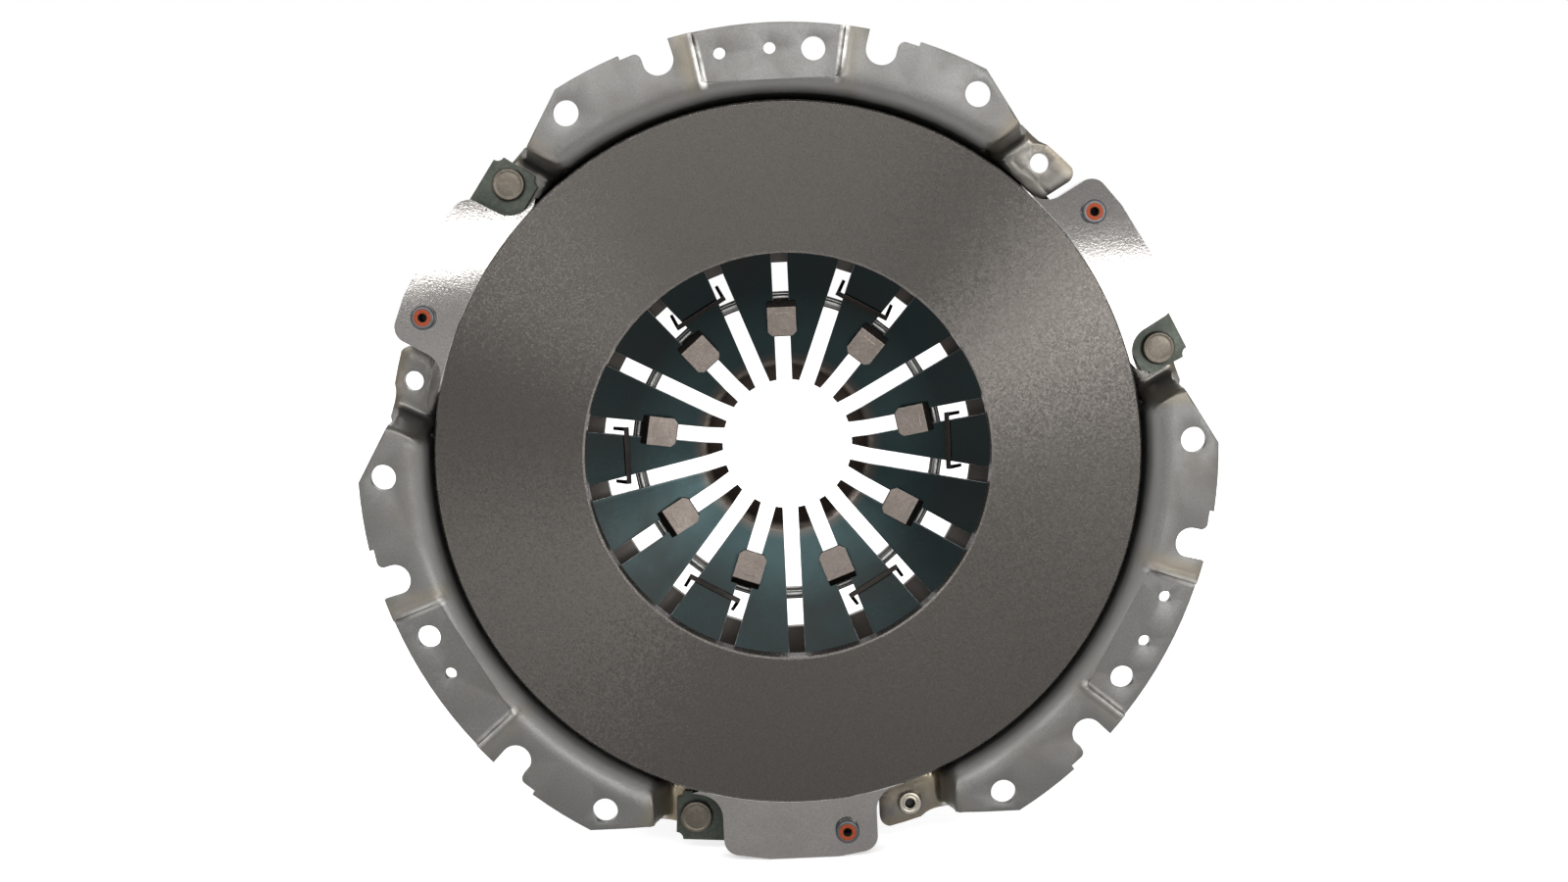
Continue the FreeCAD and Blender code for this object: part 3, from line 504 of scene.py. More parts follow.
def blued_scale(name, look):
    """Diaphragm spring: dark blue-green scale, browner in patches and burnished at the tips, with painted
    light on the inner fingers and a painted highlight along the tips' bend.
    """
    material, tree, shader = new_material(name, Metallic=0.93)
    blue = look.spring_colour
    radius = place_group(tree, "axis_radius").outputs["Radius"]
    cloud = cloudy(tree, 24.0, 0.3, 0.72)
    speckle = place_group(tree, "speckle", Grain=700.0, Pits=300.0)
    brown = [c + w for c, w in zip(toned(blue, 0.6), (0.0035, 0.002, 0.0012))]
    patchy = mix_colour(tree, share_of(tree, cloud, 0.8), blue, brown)
    # Painted light: the fingers are painted more than twice as light towards the inside.
    inner_painted_light = mix_colour(tree, ramp(tree, radius, 0.053, 0.073, 0.8, 0.0), patchy, toned(blue, 2.3))
    burnt = mix_colour(tree, ramp(tree, radius, 0.034, 0.044, 1.0, 0.0), inner_painted_light, (0.042, 0.03, 0.024))
    # Painted highlight: a soft light band along the bend of the tips, broken up in patches.
    band = ramp(tree, off_value(tree, radius, 0.0382), 0.0004, 0.0021, 1.0, 0.0)
    bright = times(tree, band, cloudy(tree, 120.0, 0.35, 0.6))
    bend_highlighted = mix_colour(tree, share_of(tree, bright, 0.55), burnt, (0.13, 0.105, 0.088))
    worn = rub_edges(tree, bend_highlighted, (0.16, 0.165, 0.165), 0.5, 220.0)
    tree.links.new(worn, shader.inputs["Base Color"])
    tree.links.new(ramp(tree, cloud, 0.0, 1.0, 0.24, 0.33), shader.inputs["Roughness"])
    bump(tree, shader, speckle.outputs["Height"], 0.1, 0.0002)
    return material


def small_steel(name, colour, dark, metallic, roughness, grain, wear, shine=0.5):
    """A small piece's steel: two tones of grain, patches and a worn edge."""
    material, tree, shader = new_material(name, Metallic=metallic, Specular_IOR_Level=shine)
    speckle = place_group(tree, "speckle", Grain=grain, Pits=grain * 0.5)
    cloud = cloudy(tree, 90.0, 0.38, 0.66)
    tone = grainy(tree, speckle, colour, dark, 2.0 - dark)
    patchy = mix_colour(tree, share_of(tree, cloud, 0.5), tone, toned(colour, dark * 0.9))
    worn = rub_edges(tree, patchy, (0.5, 0.48, 0.45), wear, 400.0)
    tree.links.new(worn, shader.inputs["Base Color"])
    tree.links.new(ramp(tree, cloud, 0.0, 1.0, roughness, roughness + 0.12), shader.inputs["Roughness"])
    bump(tree, shader, speckle.outputs["Height"], 0.15, 0.00015)
    return material


LARGE_FINISHES = {
    "phosphated_sheet": phosphated_sheet,
    "ground_iron_face": ground_iron_face,
    "milled_iron_lug": milled_iron_lug,
    "blued_scale": blued_scale,
}


def get_material(name):
    """The finish of that name, made on first use."""
    if name in bpy.data.materials:
        return bpy.data.materials[name]
    look = bpy.context.scene.clutch_finish
    if name in LARGE_FINISHES:
        return LARGE_FINISHES[name](name, look)
    # Colour, dark share, metallic, roughness, grain, wear and shine
    small = {
        "stud_steel_bare": (look.stud_colour, 0.82, 0.93, 0.3, 900.0, 0.25),
        "strap_scale": (look.strap_colour, 0.75, 0.8, 0.36, 700.0, 0.3),
        "clip_black": ((0.009, 0.0075, 0.0065), 0.7, 0.92, 0.38, 900.0, 0.03),
        "wire_grey": ((0.16, 0.16, 0.155), 0.8, 0.9, 0.28, 900.0, 0.0),
        "rivet_steel_dark": ((0.075, 0.065, 0.052), 0.8, 0.8, 0.38, 800.0, 0.4),
        "lug_collar": ((0.06, 0.062, 0.066), 0.8, 0.8, 0.34, 800.0, 0.0),
        "bright_turned": ((0.27, 0.25, 0.21), 0.85, 0.9, 0.3, 900.0, 0.3),
        "lug_paint": (look.paint_colour, 0.85, 0.0, 0.5, 800.0, 0.0, 0.15),
        # Painted shade: the near-black inside of the rivets' bores.
        "bore_painted_shade": ((0.012, 0.011, 0.01), 0.8, 0.3, 0.5, 800.0, 0.0),
    }
    return small_steel(name, *small[name])


# Mesh helpers
def add_piece(name, mesh, materials):
    obj = bpy.data.objects.new(name, mesh)
    bpy.context.scene.collection.objects.link(obj)
    for material in materials:
        mesh.materials.append(get_material(material))
    return obj


def mesh_of(bm, name):
    """Writes the working mesh to a new mesh and frees it."""
    mesh = bpy.data.meshes.new(name)
    bm.to_mesh(mesh)
    bm.free()
    return mesh


def shade(mesh, angle):
    """Smooth faces, with a hard line where two of them meet at more than the angle."""
    mesh.shade_smooth()
    mesh.set_sharp_from_angle(angle=angle)


def refine_mesh(mesh, width, segments=2, limit=math.radians(30.0), shape=None, level=True):
    """Joins flat facets, rounds the sharp edges and marks them in an attribute for wear.
    A shape function may work on the mesh first."""
    bm = bmesh.new()
    bm.from_mesh(mesh)
    bmesh.ops.remove_doubles(bm, verts=bm.verts, dist=2e-6)
    if shape:
        shape(bm)
    bmesh.ops.dissolve_limit(bm, angle_limit=0.008, verts=bm.verts, edges=bm.edges)
    sharp = [e for e in bm.edges if len(e.link_faces) == 2 and e.calc_face_angle(0.0) > limit]
    layer = bm.faces.layers.int.new("edge_face")
    made = bmesh.ops.bevel(bm, geom=sharp, offset=width, offset_type="OFFSET", segments=segments,
                           profile=0.5, affect="EDGES", clamp_overlap=True, loop_slide=True)
    for face in made["faces"]:
        face[layer] = 1
    bmesh.ops.triangulate(bm, faces=[f for f in bm.faces if len(f.verts) > 8])
    new = mesh_of(bm, "refined")
    flags = [0] * len(new.polygons)
    new.attributes["edge_face"].data.foreach_get("value", flags)
    mark = new.attributes.new("edge_mark", "FLOAT", "CORNER")
    for polygon, flag in zip(new.polygons, flags):
        for loop in polygon.loop_indices:
            mark.data[loop].value = float(flag)
    new.attributes.remove(new.attributes["edge_face"])
    shade(new, sizes().smooth_angle)
    if level:
        return apply_modifiers(new, [("WEIGHTED_NORMAL", {"keep_sharp": True, "weight": 60})])
    return new


def refine_node(node, name, body, slot, materials, width, **options):
    """A finer piece in a CAD node's place: the same shape with broken, worn edges."""
    mesh = refine_mesh(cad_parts[node].data, width, **options)
    obj = add_piece(name, mesh, materials)
    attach(obj, body)
    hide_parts(node)
    return obj


def lathe(name, profile, centre, steps=64):
    """A mesh turned about an axis along Y. The profile gives radius, depth and the next
    band's material, outside to inside."""
    bm = bmesh.new()
    rings = []
    for radius, depth, _ in profile:
        if radius < 1e-6:
            rings.append([bm.verts.new((centre.x, depth, centre.z))])
            continue
        rings.append([
            bm.verts.new((centre.x + radius * math.cos(a), depth, centre.z + radius * math.sin(a)))
            for a in (2 * math.pi * i / steps for i in range(steps))
        ])
    for ring, after, (_, _, index) in zip(rings, rings[1:], profile):
        for i in range(steps):
            corners = [line[at % len(line)] for line, at in
                       ((ring, i), (ring, i + 1), (after, i + 1), (after, i))]
            face = bm.faces.new(list(dict.fromkeys(corners)))
            face.material_index = index
    bmesh.ops.recalc_face_normals(bm, faces=bm.faces)
    mesh = mesh_of(bm, name)
    shade(mesh, math.radians(40.0))
    return mesh


def centre_of(node):
    low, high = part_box(node)
    return (low + high) / 2


# Operators, one for each piece or group of like pieces
class ClutchStage(bpy.types.Operator):
    """Makes the floor, the backdrop light, the lamps and the camera"""
    bl_idname = "clutch.stage"
    bl_label = "Stage, lamps and camera"

    def execute(self, context):
        scene = context.scene
        scene.view_settings.view_transform = "Standard"
        place_camera(scene)
        make_floor()
        make_world(scene)
        for name, values in LAMPS.items():
            add_lamp(name, *values)
        return {"FINISHED"}


def place_camera(scene):
    """The photograph's camera: its turn about each axis, its place and its lens."""
    turn = Matrix.Identity(4)
    for axis, angle in CAMERA_TURNS.items():
        turn = turn @ Matrix.Rotation(math.radians(angle), 4, axis)
    stand = Matrix(((1, 0, 0, 0), (0, 0, 1, 0), (0, -1, 0, FRICTION_FACE * MM), (0, 0, 0, 1)))
    away = Matrix.Translation(Vector(CAMERA_AWAY) * MM)
    data = bpy.data.cameras.new("photo_camera")
    data.sensor_fit = "HORIZONTAL"
    data.sensor_width = SENSOR_WIDTH
    data.lens = SENSOR_WIDTH * CAMERA_FOCAL / PHOTO_WIDTH
    data.clip_start = 0.01
    camera = bpy.data.objects.new("photo_camera", data)
    scene.collection.objects.link(camera)
    camera.matrix_world = (away @ turn @ stand).inverted()
    scene.camera = camera


def white_to_camera(tree):
    """One for camera, mirror and glass rays, and nothing for all others."""
    path = add_node(tree, "ShaderNodeLightPath")
    seen = path.outputs["Is Camera Ray"]
    for kind in ("Is Glossy Ray", "Is Transmission Ray"):
        seen = combine(tree, "MAXIMUM", seen, path.outputs[kind])
    return seen


def make_floor():
    low, _ = BOX_AT_REST
    bm = bmesh.new()
    bmesh.ops.create_grid(bm, x_segments=8, y_segments=8, size=6.0)
    mesh = mesh_of(bm, "floor")
    floor = bpy.data.objects.new("floor", mesh)
    floor.location = (0.0, 0.0, low[2] - 0.0004)
    bpy.context.scene.collection.objects.link(floor)
    material, tree, shader = new_material("floor_white", Roughness=0.9, Specular_IOR_Level=0.0)
    shader.inputs["Base Color"].default_value = (0.82, 0.82, 0.82, 1.0)
    glow = add_node(tree, "ShaderNodeEmission")
    away = add_node(tree, "ShaderNodeVectorMath", operation="LENGTH")
    tree.links.new(object_place(tree), away.inputs[0])
    tree.links.new(ramp(tree, away.outputs["Value"], 0.25, 0.75, 0.45, 1.0), glow.inputs["Color"])
    tree.links.new(white_to_camera(tree), glow.inputs["Strength"])
    total = add_node(tree, "ShaderNodeAddShader")
    tree.links.new(shader.outputs["BSDF"], total.inputs[0])
    tree.links.new(glow.outputs["Emission"], total.inputs[1])
    tree.links.new(total.outputs["Shader"], tree.nodes["Material Output"].inputs["Surface"])
    mesh.materials.append(material)


def make_world(scene):
    """White to look at, and a plain room's soft light on the object."""
    world = bpy.data.worlds.new("plain_room")
    scene.world = world
    world.use_nodes = True
    tree = world.node_tree
    choice = add_node(tree, "ShaderNodeMixShader")
    tree.links.new(white_to_camera(tree), choice.inputs["Fac"])
    white = add_node(tree, "ShaderNodeBackground")
    for index, (sky, strength) in enumerate(((tree.nodes["Background"], 0.45), (white, 1.0)), 1):
        sky.inputs["Color"].default_value = (1.0, 1.0, 1.0, 1.0)
        sky.inputs["Strength"].default_value = strength
        tree.links.new(sky.outputs["Background"], choice.inputs[index])
    tree.links.new(choice.outputs["Shader"], tree.nodes["World Output"].inputs["Surface"])


def add_lamp(name, round_axis, off_axis, distance, width, height, power):
    """A soft lamp aimed at the clutch, placed by its angle round the axis and off it."""
    turn, lean = math.radians(round_axis), math.radians(off_axis)
    out = math.sin(lean)
    place = Vector((out * math.cos(turn), -math.cos(lean), out * math.sin(turn))) * distance
    data = bpy.data.lights.new(name, "AREA")
    data.shape = "RECTANGLE"
    data.size = width
    data.size_y = height
    data.energy = power
    lamp = bpy.data.objects.new(name, data)
    lamp.location = place
    lamp.rotation_euler = (-place).to_track_quat("-Z", "Y").to_euler()
    bpy.context.scene.collection.objects.link(lamp)


def with_edges(faces):
    """Faces together with their edges and corners."""
    return list({v for f in faces for v in f.verts} | {e for f in faces for e in f.edges}) + faces


def cut_finely(bm, low, high, steps):
    """Cuts the faces in a box by planes across each axis, and returns the corners in it. The box
    and the steps between planes are in millimetres."""
    low, high = Vector(low) * MM, Vector(high) * MM

    def touches(face):
        places = [v.co for v in face.verts]
        return all(min(p[i] for p in places) < high[i] and max(p[i] for p in places) > low[i]
                   for i in (0, 2))

    def inside(point):
        return all(l <= c <= h for l, c, h in zip(low, point, high))

    axes = [Vector([float(i == axis) for i in range(3)]) for axis in range(3)]
    geom = with_edges([f for f in bm.faces if touches(f)])
    for axis, bound in ((a, b) for a in range(3) for b in (low, high)):
        geom = bmesh.ops.bisect_plane(bm, geom=geom, dist=1e-7, plane_co=bound, plane_no=axes[axis])["geom"]
    faces = [f for f in geom if isinstance(f, bmesh.types.BMFace) and inside(f.calc_center_median())]
    geom = with_edges(faces)
    for axis, step in enumerate(steps):
        count = int(round((high[axis] - low[axis]) / (step * MM))) if step else 0
        for i in range(1, count):
            at = low.lerp(high, i / count)
            geom = bmesh.ops.bisect_plane(bm, geom=geom, dist=1e-7, plane_co=at, plane_no=axes[axis])["geom"]
    return [v for v in geom if isinstance(v, bmesh.types.BMVert) and inside(v.co)]


def settle(verts, weights, rounds):
    """Lets corners settle between their neighbours. Each has a weight along each axis."""
    outer = {e.other_vert(v) for v in verts for e in v.link_edges} - set(verts)
    every = list(verts) + list(outer)
    index = {v: i for i, v in enumerate(every)}
    pairs = numpy.array([(index[e.verts[0]], index[e.verts[1]])
                         for e in {e for v in verts for e in v.link_edges}])
    places = numpy.array([v.co for v in every], dtype=float)
    pull = numpy.zeros((len(every), 3))
    pull[:len(verts)] = weights
    count = numpy.bincount(pairs.ravel(), minlength=len(every))[:, None]
    for _ in range(rounds):
        total = numpy.stack([
            numpy.bincount(pairs[:, 0], places[pairs[:, 1], axis], len(every))
            + numpy.bincount(pairs[:, 1], places[pairs[:, 0], axis], len(every)) for axis in range(3)], 1)
        places += 0.5 * pull * (total / count - places)
    for vert, place in zip(verts, places):
        vert.co = Vector(place)


def follow_roll(vert):
    """Brings a corner of a fold back to the flange's rolled bend and to the trimmed edge, which
    spreads outwards from a depth on."""
    spread_from, spread_run, spread = 13.0, 13.0, 4.0
    wall_from, wall_depth = 54.0, 24.0
    place = vert.co / MM
    radius = math.hypot(place.x, place.z)
    across, deep = ROLL_RADIUS - radius, ROLL_BEND - place.y
    off = math.hypot(across, deep)
    if across > 0 and deep > 0 and off > ROLL_BEND:
        new_radius = ROLL_RADIUS - across * ROLL_BEND / off
        place.x *= new_radius / radius
        place.z *= new_radius / radius
        place.y = ROLL_BEND - deep * ROLL_BEND / off
    share = clamped((place.y - spread_from) / spread_run)
    if abs(place.x) > wall_from and place.y < wall_depth:
        place.z = max(place.z, -(BAY_TRIM + spread * share * share))
    vert.co = place * MM


def turn_sheet(bm, matrix):
    bmesh.ops.rotate(bm, verts=bm.verts, cent=(0.0, 0.0, 0.0), matrix=matrix)


def ease(verts, away, slide, reach, fade, rounds):
    """Settles the corners within reach of the middle of a bend. One whose slide is zero keeps
    its place along the third axis."""
    pull = [clamped((reach - a) / fade) for a in away]
    settle(verts, [(p, p, p * s) for p, s in zip(pull, slide)], rounds)


def press_folds(bm):
    """Gives the sheet the soft bends of a pressing where each bay's folds meet the wall."""
    fold_x, fold_lean = 66.8, 6.0 / 26.0
    for angle in BAYS.values():
        turn = Matrix.Rotation(math.radians(270.0 - angle), 3, "Y").inverted()
        turn_sheet(bm, turn)
        for side in (1, -1):
            near, far = sorted((side * 53.0, side * 82.0))
            verts = cut_finely(bm, (near, -1.0, -168.5), (far, 33.0, -141.0), (1.7, 1.8, 1.8))
            for vert in verts:
                follow_roll(vert)
            away = [abs(abs(v.co.x) / MM - fold_x + fold_lean * v.co.y / MM) for v in verts]
            slide = [0.0 if abs(v.co.z + BAY_TRIM * MM) < 0.02 * MM else 1.0 for v in verts]
            for reach, rounds in ((13.0, 3), (9.0, 8), (5.0, 22)):
                ease(verts, away, slide, reach, 3.0, rounds)
        turn_sheet(bm, turn.inverted())


def press_creases(bm):
    """Raises the soft ridge on each side of a flange segment's middle panel."""
    ridge_x, ridge_width, ridge_height, proud = 1.3, 1.15, 0.95, 0.25
    for middle, side in ((m, s) for m in SEGMENTS for s in (1, -1)):
        angle = middle + side * PANEL_HALF_ANGLE
        turn = Matrix.Rotation(math.radians(90.0 - angle), 3, "Y").inverted()
        turn_sheet(bm, turn)
        verts = cut_finely(bm, (-9.0, -1.0, 159.0), (9.0, 7.0, 186.0), (0.9, 0.0, 2.2))
        slide = [0.0 if math.hypot(v.co.x, v.co.z) > 182.0 * MM else 1.0 for v in verts]
        for reach, rounds in ((7.0, 2), (3.5, 5)):
            ease(verts, [abs(v.co.x) / MM for v in verts], slide, reach, 2.0, rounds)
        for vert in verts:
            off = vert.co.x / MM + side * ridge_x
            rise = clamped((vert.co.z / MM - 162.0) / 5.0)
            raised = vert.co.y - ridge_height * MM * math.exp(-(off / ridge_width) ** 2) * rise
            vert.co.y = max(raised, min(vert.co.y, -proud * MM))
        turn_sheet(bm, turn.inverted())


def press_sheet(bm):
    press_folds(bm)
    press_creases(bm)


class ClutchCover(bpy.types.Operator):
    """Makes the stamped cover"""
    bl_idname = "clutch.cover"
    bl_label = "Stamped cover"

    def execute(self, context):
        refine_node("clutch_cover", "stamped_cover", "cover", "phosphated_steel",
                    ["phosphated_sheet"], sizes().sheet_break, shape=press_sheet, level=False)
        return {"FINISHED"}


class ClutchPlate(bpy.types.Operator):
    """Makes the pressure plate's ring and lugs"""
    bl_idname = "clutch.plate"
    bl_label = "Pressure plate"

    def execute(self, context):
        plate = refine_node("pressure_plate", "pressure_ring", "plate", "ground_iron",
                            ["ground_iron_face", "milled_iron_lug"], sizes().edge_break)
        for face in plate.data.polygons:
            if math.hypot(face.center.x, face.center.z) > PLATE_EDGE:
                face.material_index = 1
        return {"FINISHED"}


def slot_half(radius):
    """Half the width of the gap between two fingers at a radius, rounded at its end."""
    half = sizes().slot_width / 2
    centre = SLOT_END - half
    if radius <= centre:
        return half
    return math.sqrt(max(half * half - (radius - centre) ** 2, 0.0))


def spring_depth(radius):
    """Depth of the spring's flywheel side at a radius, with its tips bent back."""
    pivot, bend, tip, soft = 68.7 * MM, 38.0 * MM, 30.0 * MM, 2.2 * MM
    pivot_depth, bent_back = 45.0 * MM, 4.8 * MM
    slope = math.tan(math.radians(18.5))
    depth = pivot_depth + (pivot - radius) * slope
    past = bend + soft - radius
    if past > 0:
        extra = bent_back / (bend - tip)
        blend = min(past / (2 * soft), 1.0)
        depth += extra * (past * blend / 2 if blend < 1 else past - soft)
    return depth


class ClutchSpring(bpy.types.Operator):
    """Makes the diaphragm spring with its slotted fingers"""
    bl_idname = "clutch.spring"
    bl_label = "Diaphragm spring"

    def execute(self, context):
        radii = [30.0, 30.6, 31.5, 33.0, 34.6, 35.8, 36.6, 37.4, 38.2, 39.0, 39.8, 40.6, 42.0]
        radii += [42.0 + 3.0 * i for i in range(1, 18)]
        radii += [95.45, 96.2, 96.9, 97.5, 98.0, 98.4, 98.7, 98.88, 99.0]
        radii += [100.5, 103.0, 106.0, 109.0, 112.0, 115.0, 116.4, 117.0]
        across = 10
        half_pitch = math.pi / FINGERS
        bm = bmesh.new()
        for finger in range(FINGERS):
            middle = math.radians(90.0) + 2 * half_pitch * (finger + 0.5)
            rows = []
            for radius in (r * MM for r in radii):
                reach = half_pitch - math.asin(slot_half(radius) / radius)
                angles = [middle + reach * (2 * i / across - 1) for i in range(across + 1)]
                rows.append([bm.verts.new((radius * math.cos(a), spring_depth(radius), radius * math.sin(a)))
                             for a in angles])
            for low, high in zip(rows, rows[1:]):
                for i in range(across):
                    bm.faces.new((low[i], low[i + 1], high[i + 1], high[i]))
        bmesh.ops.remove_doubles(bm, verts=bm.verts, dist=2e-6)
        bmesh.ops.recalc_face_normals(bm, faces=bm.faces)
        if sum(face.normal.y for face in bm.faces) > 0:
            bmesh.ops.reverse_faces(bm, faces=bm.faces)
        thick = apply_modifiers(mesh_of(bm, "spring_sheet"), [
            ("SOLIDIFY", {"thickness": sizes().spring_thickness, "offset": -1.0, "use_even_offset": True}),
        ])
        fine = refine_mesh(thick, 0.35 * MM, 2, math.radians(50.0))
        obj = add_piece("diaphragm_fingers", fine, ["blued_scale"])
        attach(obj, "cover")
        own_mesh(obj)
        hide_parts("diaphragm_spring")
        return {"FINISHED"}


def apply_modifiers(mesh, steps):
    """The mesh that a chain of modifiers gives."""
    holder = bpy.data.objects.new("holder", mesh)
    bpy.context.scene.collection.objects.link(holder)
    for kind, settings in steps:
        modifier = holder.modifiers.new(kind.lower(), kind)
        for key, value in settings.items():
            setattr(modifier, key, value)
    bpy.context.view_layer.update()
    graph = bpy.context.evaluated_depsgraph_get()
    result = bpy.data.meshes.new_from_object(holder.evaluated_get(graph))
    bpy.data.objects.remove(holder)
    return result


class ClutchStuds(bpy.types.Operator):
    """Makes the nine studs whose flat heads lie over the fingers"""
    bl_idname = "clutch.studs"
    bl_label = "Spring studs"

    def execute(self, context):
        for i in range(1, STUDS + 1):
            stud = refine_node("spring_stud_{}".format(i), "flat_head_stud_{}".format(i), "cover",
                               "stud_steel", ["stud_steel_bare", "clip_black"], 0.3 * MM)
            # Painted shade: every face but the front of each head, and all of the stud past the head's end,
            # takes the near-black clip finish.
            for face in stud.data.polygons:
                radius = math.hypot(face.center.x, face.center.z)
                if radius > STUD_HEAD_END or face.normal.y > -0.5:
                    face.material_index = 1
        return {"FINISHED"}


class ClutchClips(bpy.types.Operator):
    """Makes the clips and the wire ring that the spring rocks on"""
    bl_idname = "clutch.clips"
    bl_label = "Clips and wire ring"

    def execute(self, context):
        for i in range(1, CLIPS + 1):
            refine_node("ring_clip_{}".format(i), "bridge_clip_{}".format(i), "cover",
                        "clip_steel", ["clip_black"], 0.25 * MM)
        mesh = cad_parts["pivot_wire_ring"].data.copy()
        mesh.materials.clear()
        ring = add_piece("fulcrum_wire", mesh, ["wire_grey"])
        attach(ring, "cover")
        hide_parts("pivot_wire_ring")
        return {"FINISHED"}


def strap_frame(angle):
    """The place and directions of a bay's strap: start, along it and out across it."""
    radius, base, slant = 171.0 * MM, math.radians(270.0 - 16.7), math.radians(4.5)
    start = Vector((radius * math.cos(base), 0.0, radius * math.sin(base)))
    along = Vector((math.cos(slant), 0.0, -math.sin(slant)))
    turn = Matrix.Rotation(-math.radians(angle - 270.0), 3, "Y")
    start, along = turn @ start, turn @ along
    return start, along, Vector((0.0, 1.0, 0.0)).cross(along)


class ClutchStraps(bpy.types.Operator):
    """Makes the three packs of spring leaves that carry the plate"""
    bl_idname = "clutch.straps"
    bl_label = "Drive straps"

    def execute(self, context):
        for bay, angle in BAYS.items():
            self.make_pack(bay, angle)
        return {"FINISHED"}

    def make_pack(self, bay, angle):
        start, along, side = strap_frame(angle)
        pitch, over, flat, notch = 68.0, 9.0, 13.0, 3.2
        tab_face, lug_face, half_width, gap = 26.0, 17.5, 11.3, 0.02
        near = [0.0, 0.25, 0.6, 1.1, 1.7, 2.4, 2.9, 3.2, 5.0, 8.0]
        stations = [-over + s for s in near]
        stations += [2.0 + 3.0 * i for i in range(23)]
        stations += [pitch + over - s for s in reversed(near)]
        leaf = sizes().leaf_thickness / MM
        section = [(out, gap) for out in (-1, -0.5, 0.5, 1)]
        section += [(out, leaf - gap) for out in (1, 0.5, -0.5, -1)]
        bm = bmesh.new()
        for number in range(LEAVES):
            low = tab_face - leaf * (LEAVES - number)
            high = lug_face + leaf * number
            rows = []
            for at in stations:
                share = clamped((at - flat) / (pitch - 2 * flat))
                share = share * share * (3 - 2 * share)
                depth = low + (high - low) * share
                end = min(at + over, pitch + over - at)
                half = half_width
                if end < notch:
                    half -= math.sqrt(max(notch * notch - end * end, 0.0))
                middle = start + along * at * MM
                rows.append([
                    bm.verts.new(middle + side * out * half * MM + Vector((0.0, (depth + up) * MM, 0.0)))
                    for out, up in section
                ])
            for row, after in zip(rows, rows[1:]):
                for i in range(len(section)):
                    j = (i + 1) % len(section)
                    bm.faces.new((row[i], row[j], after[j], after[i]))
            bm.faces.new(rows[0])
            bm.faces.new(rows[-1])
        bmesh.ops.recalc_face_normals(bm, faces=bm.faces)
        mesh = refine_mesh(mesh_of(bm, "strap_pack"), 0.12 * MM, 1, math.radians(45.0))
        obj = add_piece("leaf_strap_" + bay, mesh, ["strap_scale"])
        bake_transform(obj)
        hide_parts("drive_strap_" + bay)


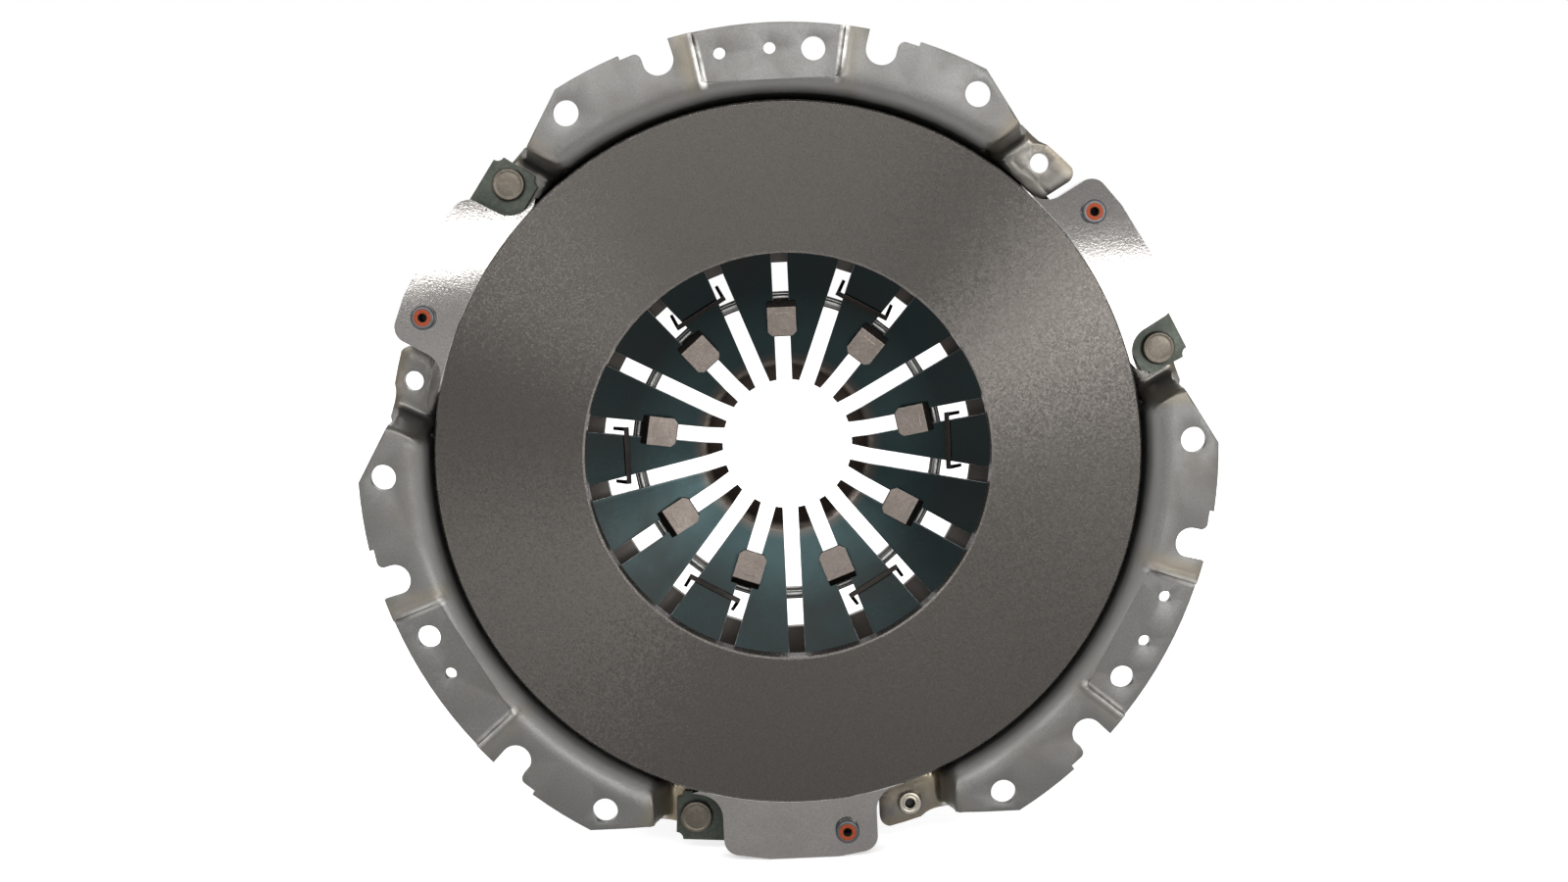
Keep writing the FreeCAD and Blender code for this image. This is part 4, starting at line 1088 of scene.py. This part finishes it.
class ClutchRivets(bpy.types.Operator):
    """Makes the strap rivets, the painted lug rivets and the balance rivet"""
    bl_idname = "clutch.rivets"
    bl_label = "Rivets"

    def execute(self, context):
        for bay in BAYS:
            self.strap_rivet(bay)
            self.lug_rivet(bay)
        self.balance_rivet()
        return {"FINISHED"}

    def turned(self, name, node, body, slot, materials, profile):
        steps = [(r * MM, d * MM, m) for r, d, m in profile]
        obj = add_piece(name, lathe(name, steps, centre_of(node)), materials)
        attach(obj, body)
        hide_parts(node)

    def strap_rivet(self, bay):
        profile = [
            (0.0, 20.6, 0), (2.0, 20.58, 0), (4.9, 20.5, 0), (5.4, 20.62, 0), (5.75, 20.45, 0),
            (6.1, 20.3, 0), (6.6, 20.36, 0), (7.05, 20.7, 0), (7.3, 21.2, 0), (7.35, 21.9, 0),
            (7.35, 23.25, 0),
            (3.9, 23.28, 0), (3.9, 30.52, 0), (6.2, 30.55, 0), (6.0, 31.4, 0), (5.0, 32.7, 0),
            (3.0, 32.9, 0), (0.0, 32.9, 0),
        ]
        self.turned("strap_rivet_head_" + bay, "strap_rivet_" + bay, "cover", "rivet_steel",
                    ["rivet_steel_dark"], profile)

    def lug_rivet(self, bay):
        # The bore's band is painted near black as its shade.
        profile = [
            (0.0, 12.7, 2), (1.75, 12.7, 2), (1.75, 4.3, 2), (2.05, 3.85, 1), (2.6, 3.7, 1),
            (3.3, 3.72, 1), (3.75, 3.85, 0), (4.1, 3.72, 0), (4.75, 3.85, 0), (5.15, 4.2, 0),
            (5.3, 4.7, 0), (5.3, 7.4, 0),
            (3.9, 7.48, 0), (3.9, 20.18, 0), (6.4, 20.22, 0), (6.2, 21.2, 0), (5.3, 22.5, 0),
            (3.0, 22.6, 0), (0.0, 22.6, 0),
        ]
        self.turned("painted_lug_rivet_" + bay, "lug_rivet_" + bay, "plate", "painted_rivet",
                    ["lug_collar", "lug_paint", "bore_painted_shade"], profile)

    def balance_rivet(self):
        # The bore's band is painted near black as its shade.
        profile = [
            (0.0, 27.5, 1), (2.1, 27.5, 1), (2.1, 23.5, 1), (2.35, 23.1, 0), (2.8, 23.0, 0),
            (3.1, 23.08, 0), (3.35, 23.2, 0), (3.6, 23.08, 0), (3.9, 23.0, 0), (4.5, 23.05, 0),
            (4.95, 23.3, 0), (5.1, 23.7, 0), (5.1, 25.95, 0), (4.25, 25.98, 0), (4.25, 30.52, 0),
            (5.4, 30.55, 0), (5.3, 31.2, 0), (4.6, 32.5, 0), (0.0, 32.5, 0),
        ]
        self.turned("balance_rivet_turned", "balance_rivet", "cover", "bright_steel",
                    ["bright_turned", "bore_painted_shade"], profile)


class ClutchPanel(bpy.types.Panel):
    """Lists the pieces of the clutch cover assembly"""
    bl_idname = "VIEW3D_PT_clutch_cover"
    bl_label = "Clutch cover assembly"
    bl_space_type = "VIEW_3D"
    bl_region_type = "UI"
    bl_category = "Clutch"

    def draw(self, context):
        column = self.layout.column()
        for group in (context.scene.clutch_finish, context.scene.clutch_sizes):
            for key in group.__annotations__:
                column.prop(group, key)
        for operator in OPERATORS:
            column.operator(operator.bl_idname)


OPERATORS = (ClutchStage, ClutchCover, ClutchPlate, ClutchSpring, ClutchStuds, ClutchClips,
             ClutchStraps, ClutchRivets)
CLASSES = (ClutchFinish, ClutchSizes) + OPERATORS + (ClutchPanel,)


def register():
    for item in CLASSES:
        bpy.utils.register_class(item)
    bpy.types.Scene.clutch_finish = PointerProperty(type=ClutchFinish)
    bpy.types.Scene.clutch_sizes = PointerProperty(type=ClutchSizes)


def unregister():
    del bpy.types.Scene.clutch_finish
    del bpy.types.Scene.clutch_sizes
    for item in reversed(CLASSES):
        bpy.utils.unregister_class(item)


def main():
    register()
    bpy.ops.clutch.stage()
    bpy.ops.clutch.cover()
    bpy.ops.clutch.plate()
    bpy.ops.clutch.spring()
    bpy.ops.clutch.studs()
    bpy.ops.clutch.clips()
    bpy.ops.clutch.straps()
    bpy.ops.clutch.rivets()


if __name__ == "__main__":
    main()
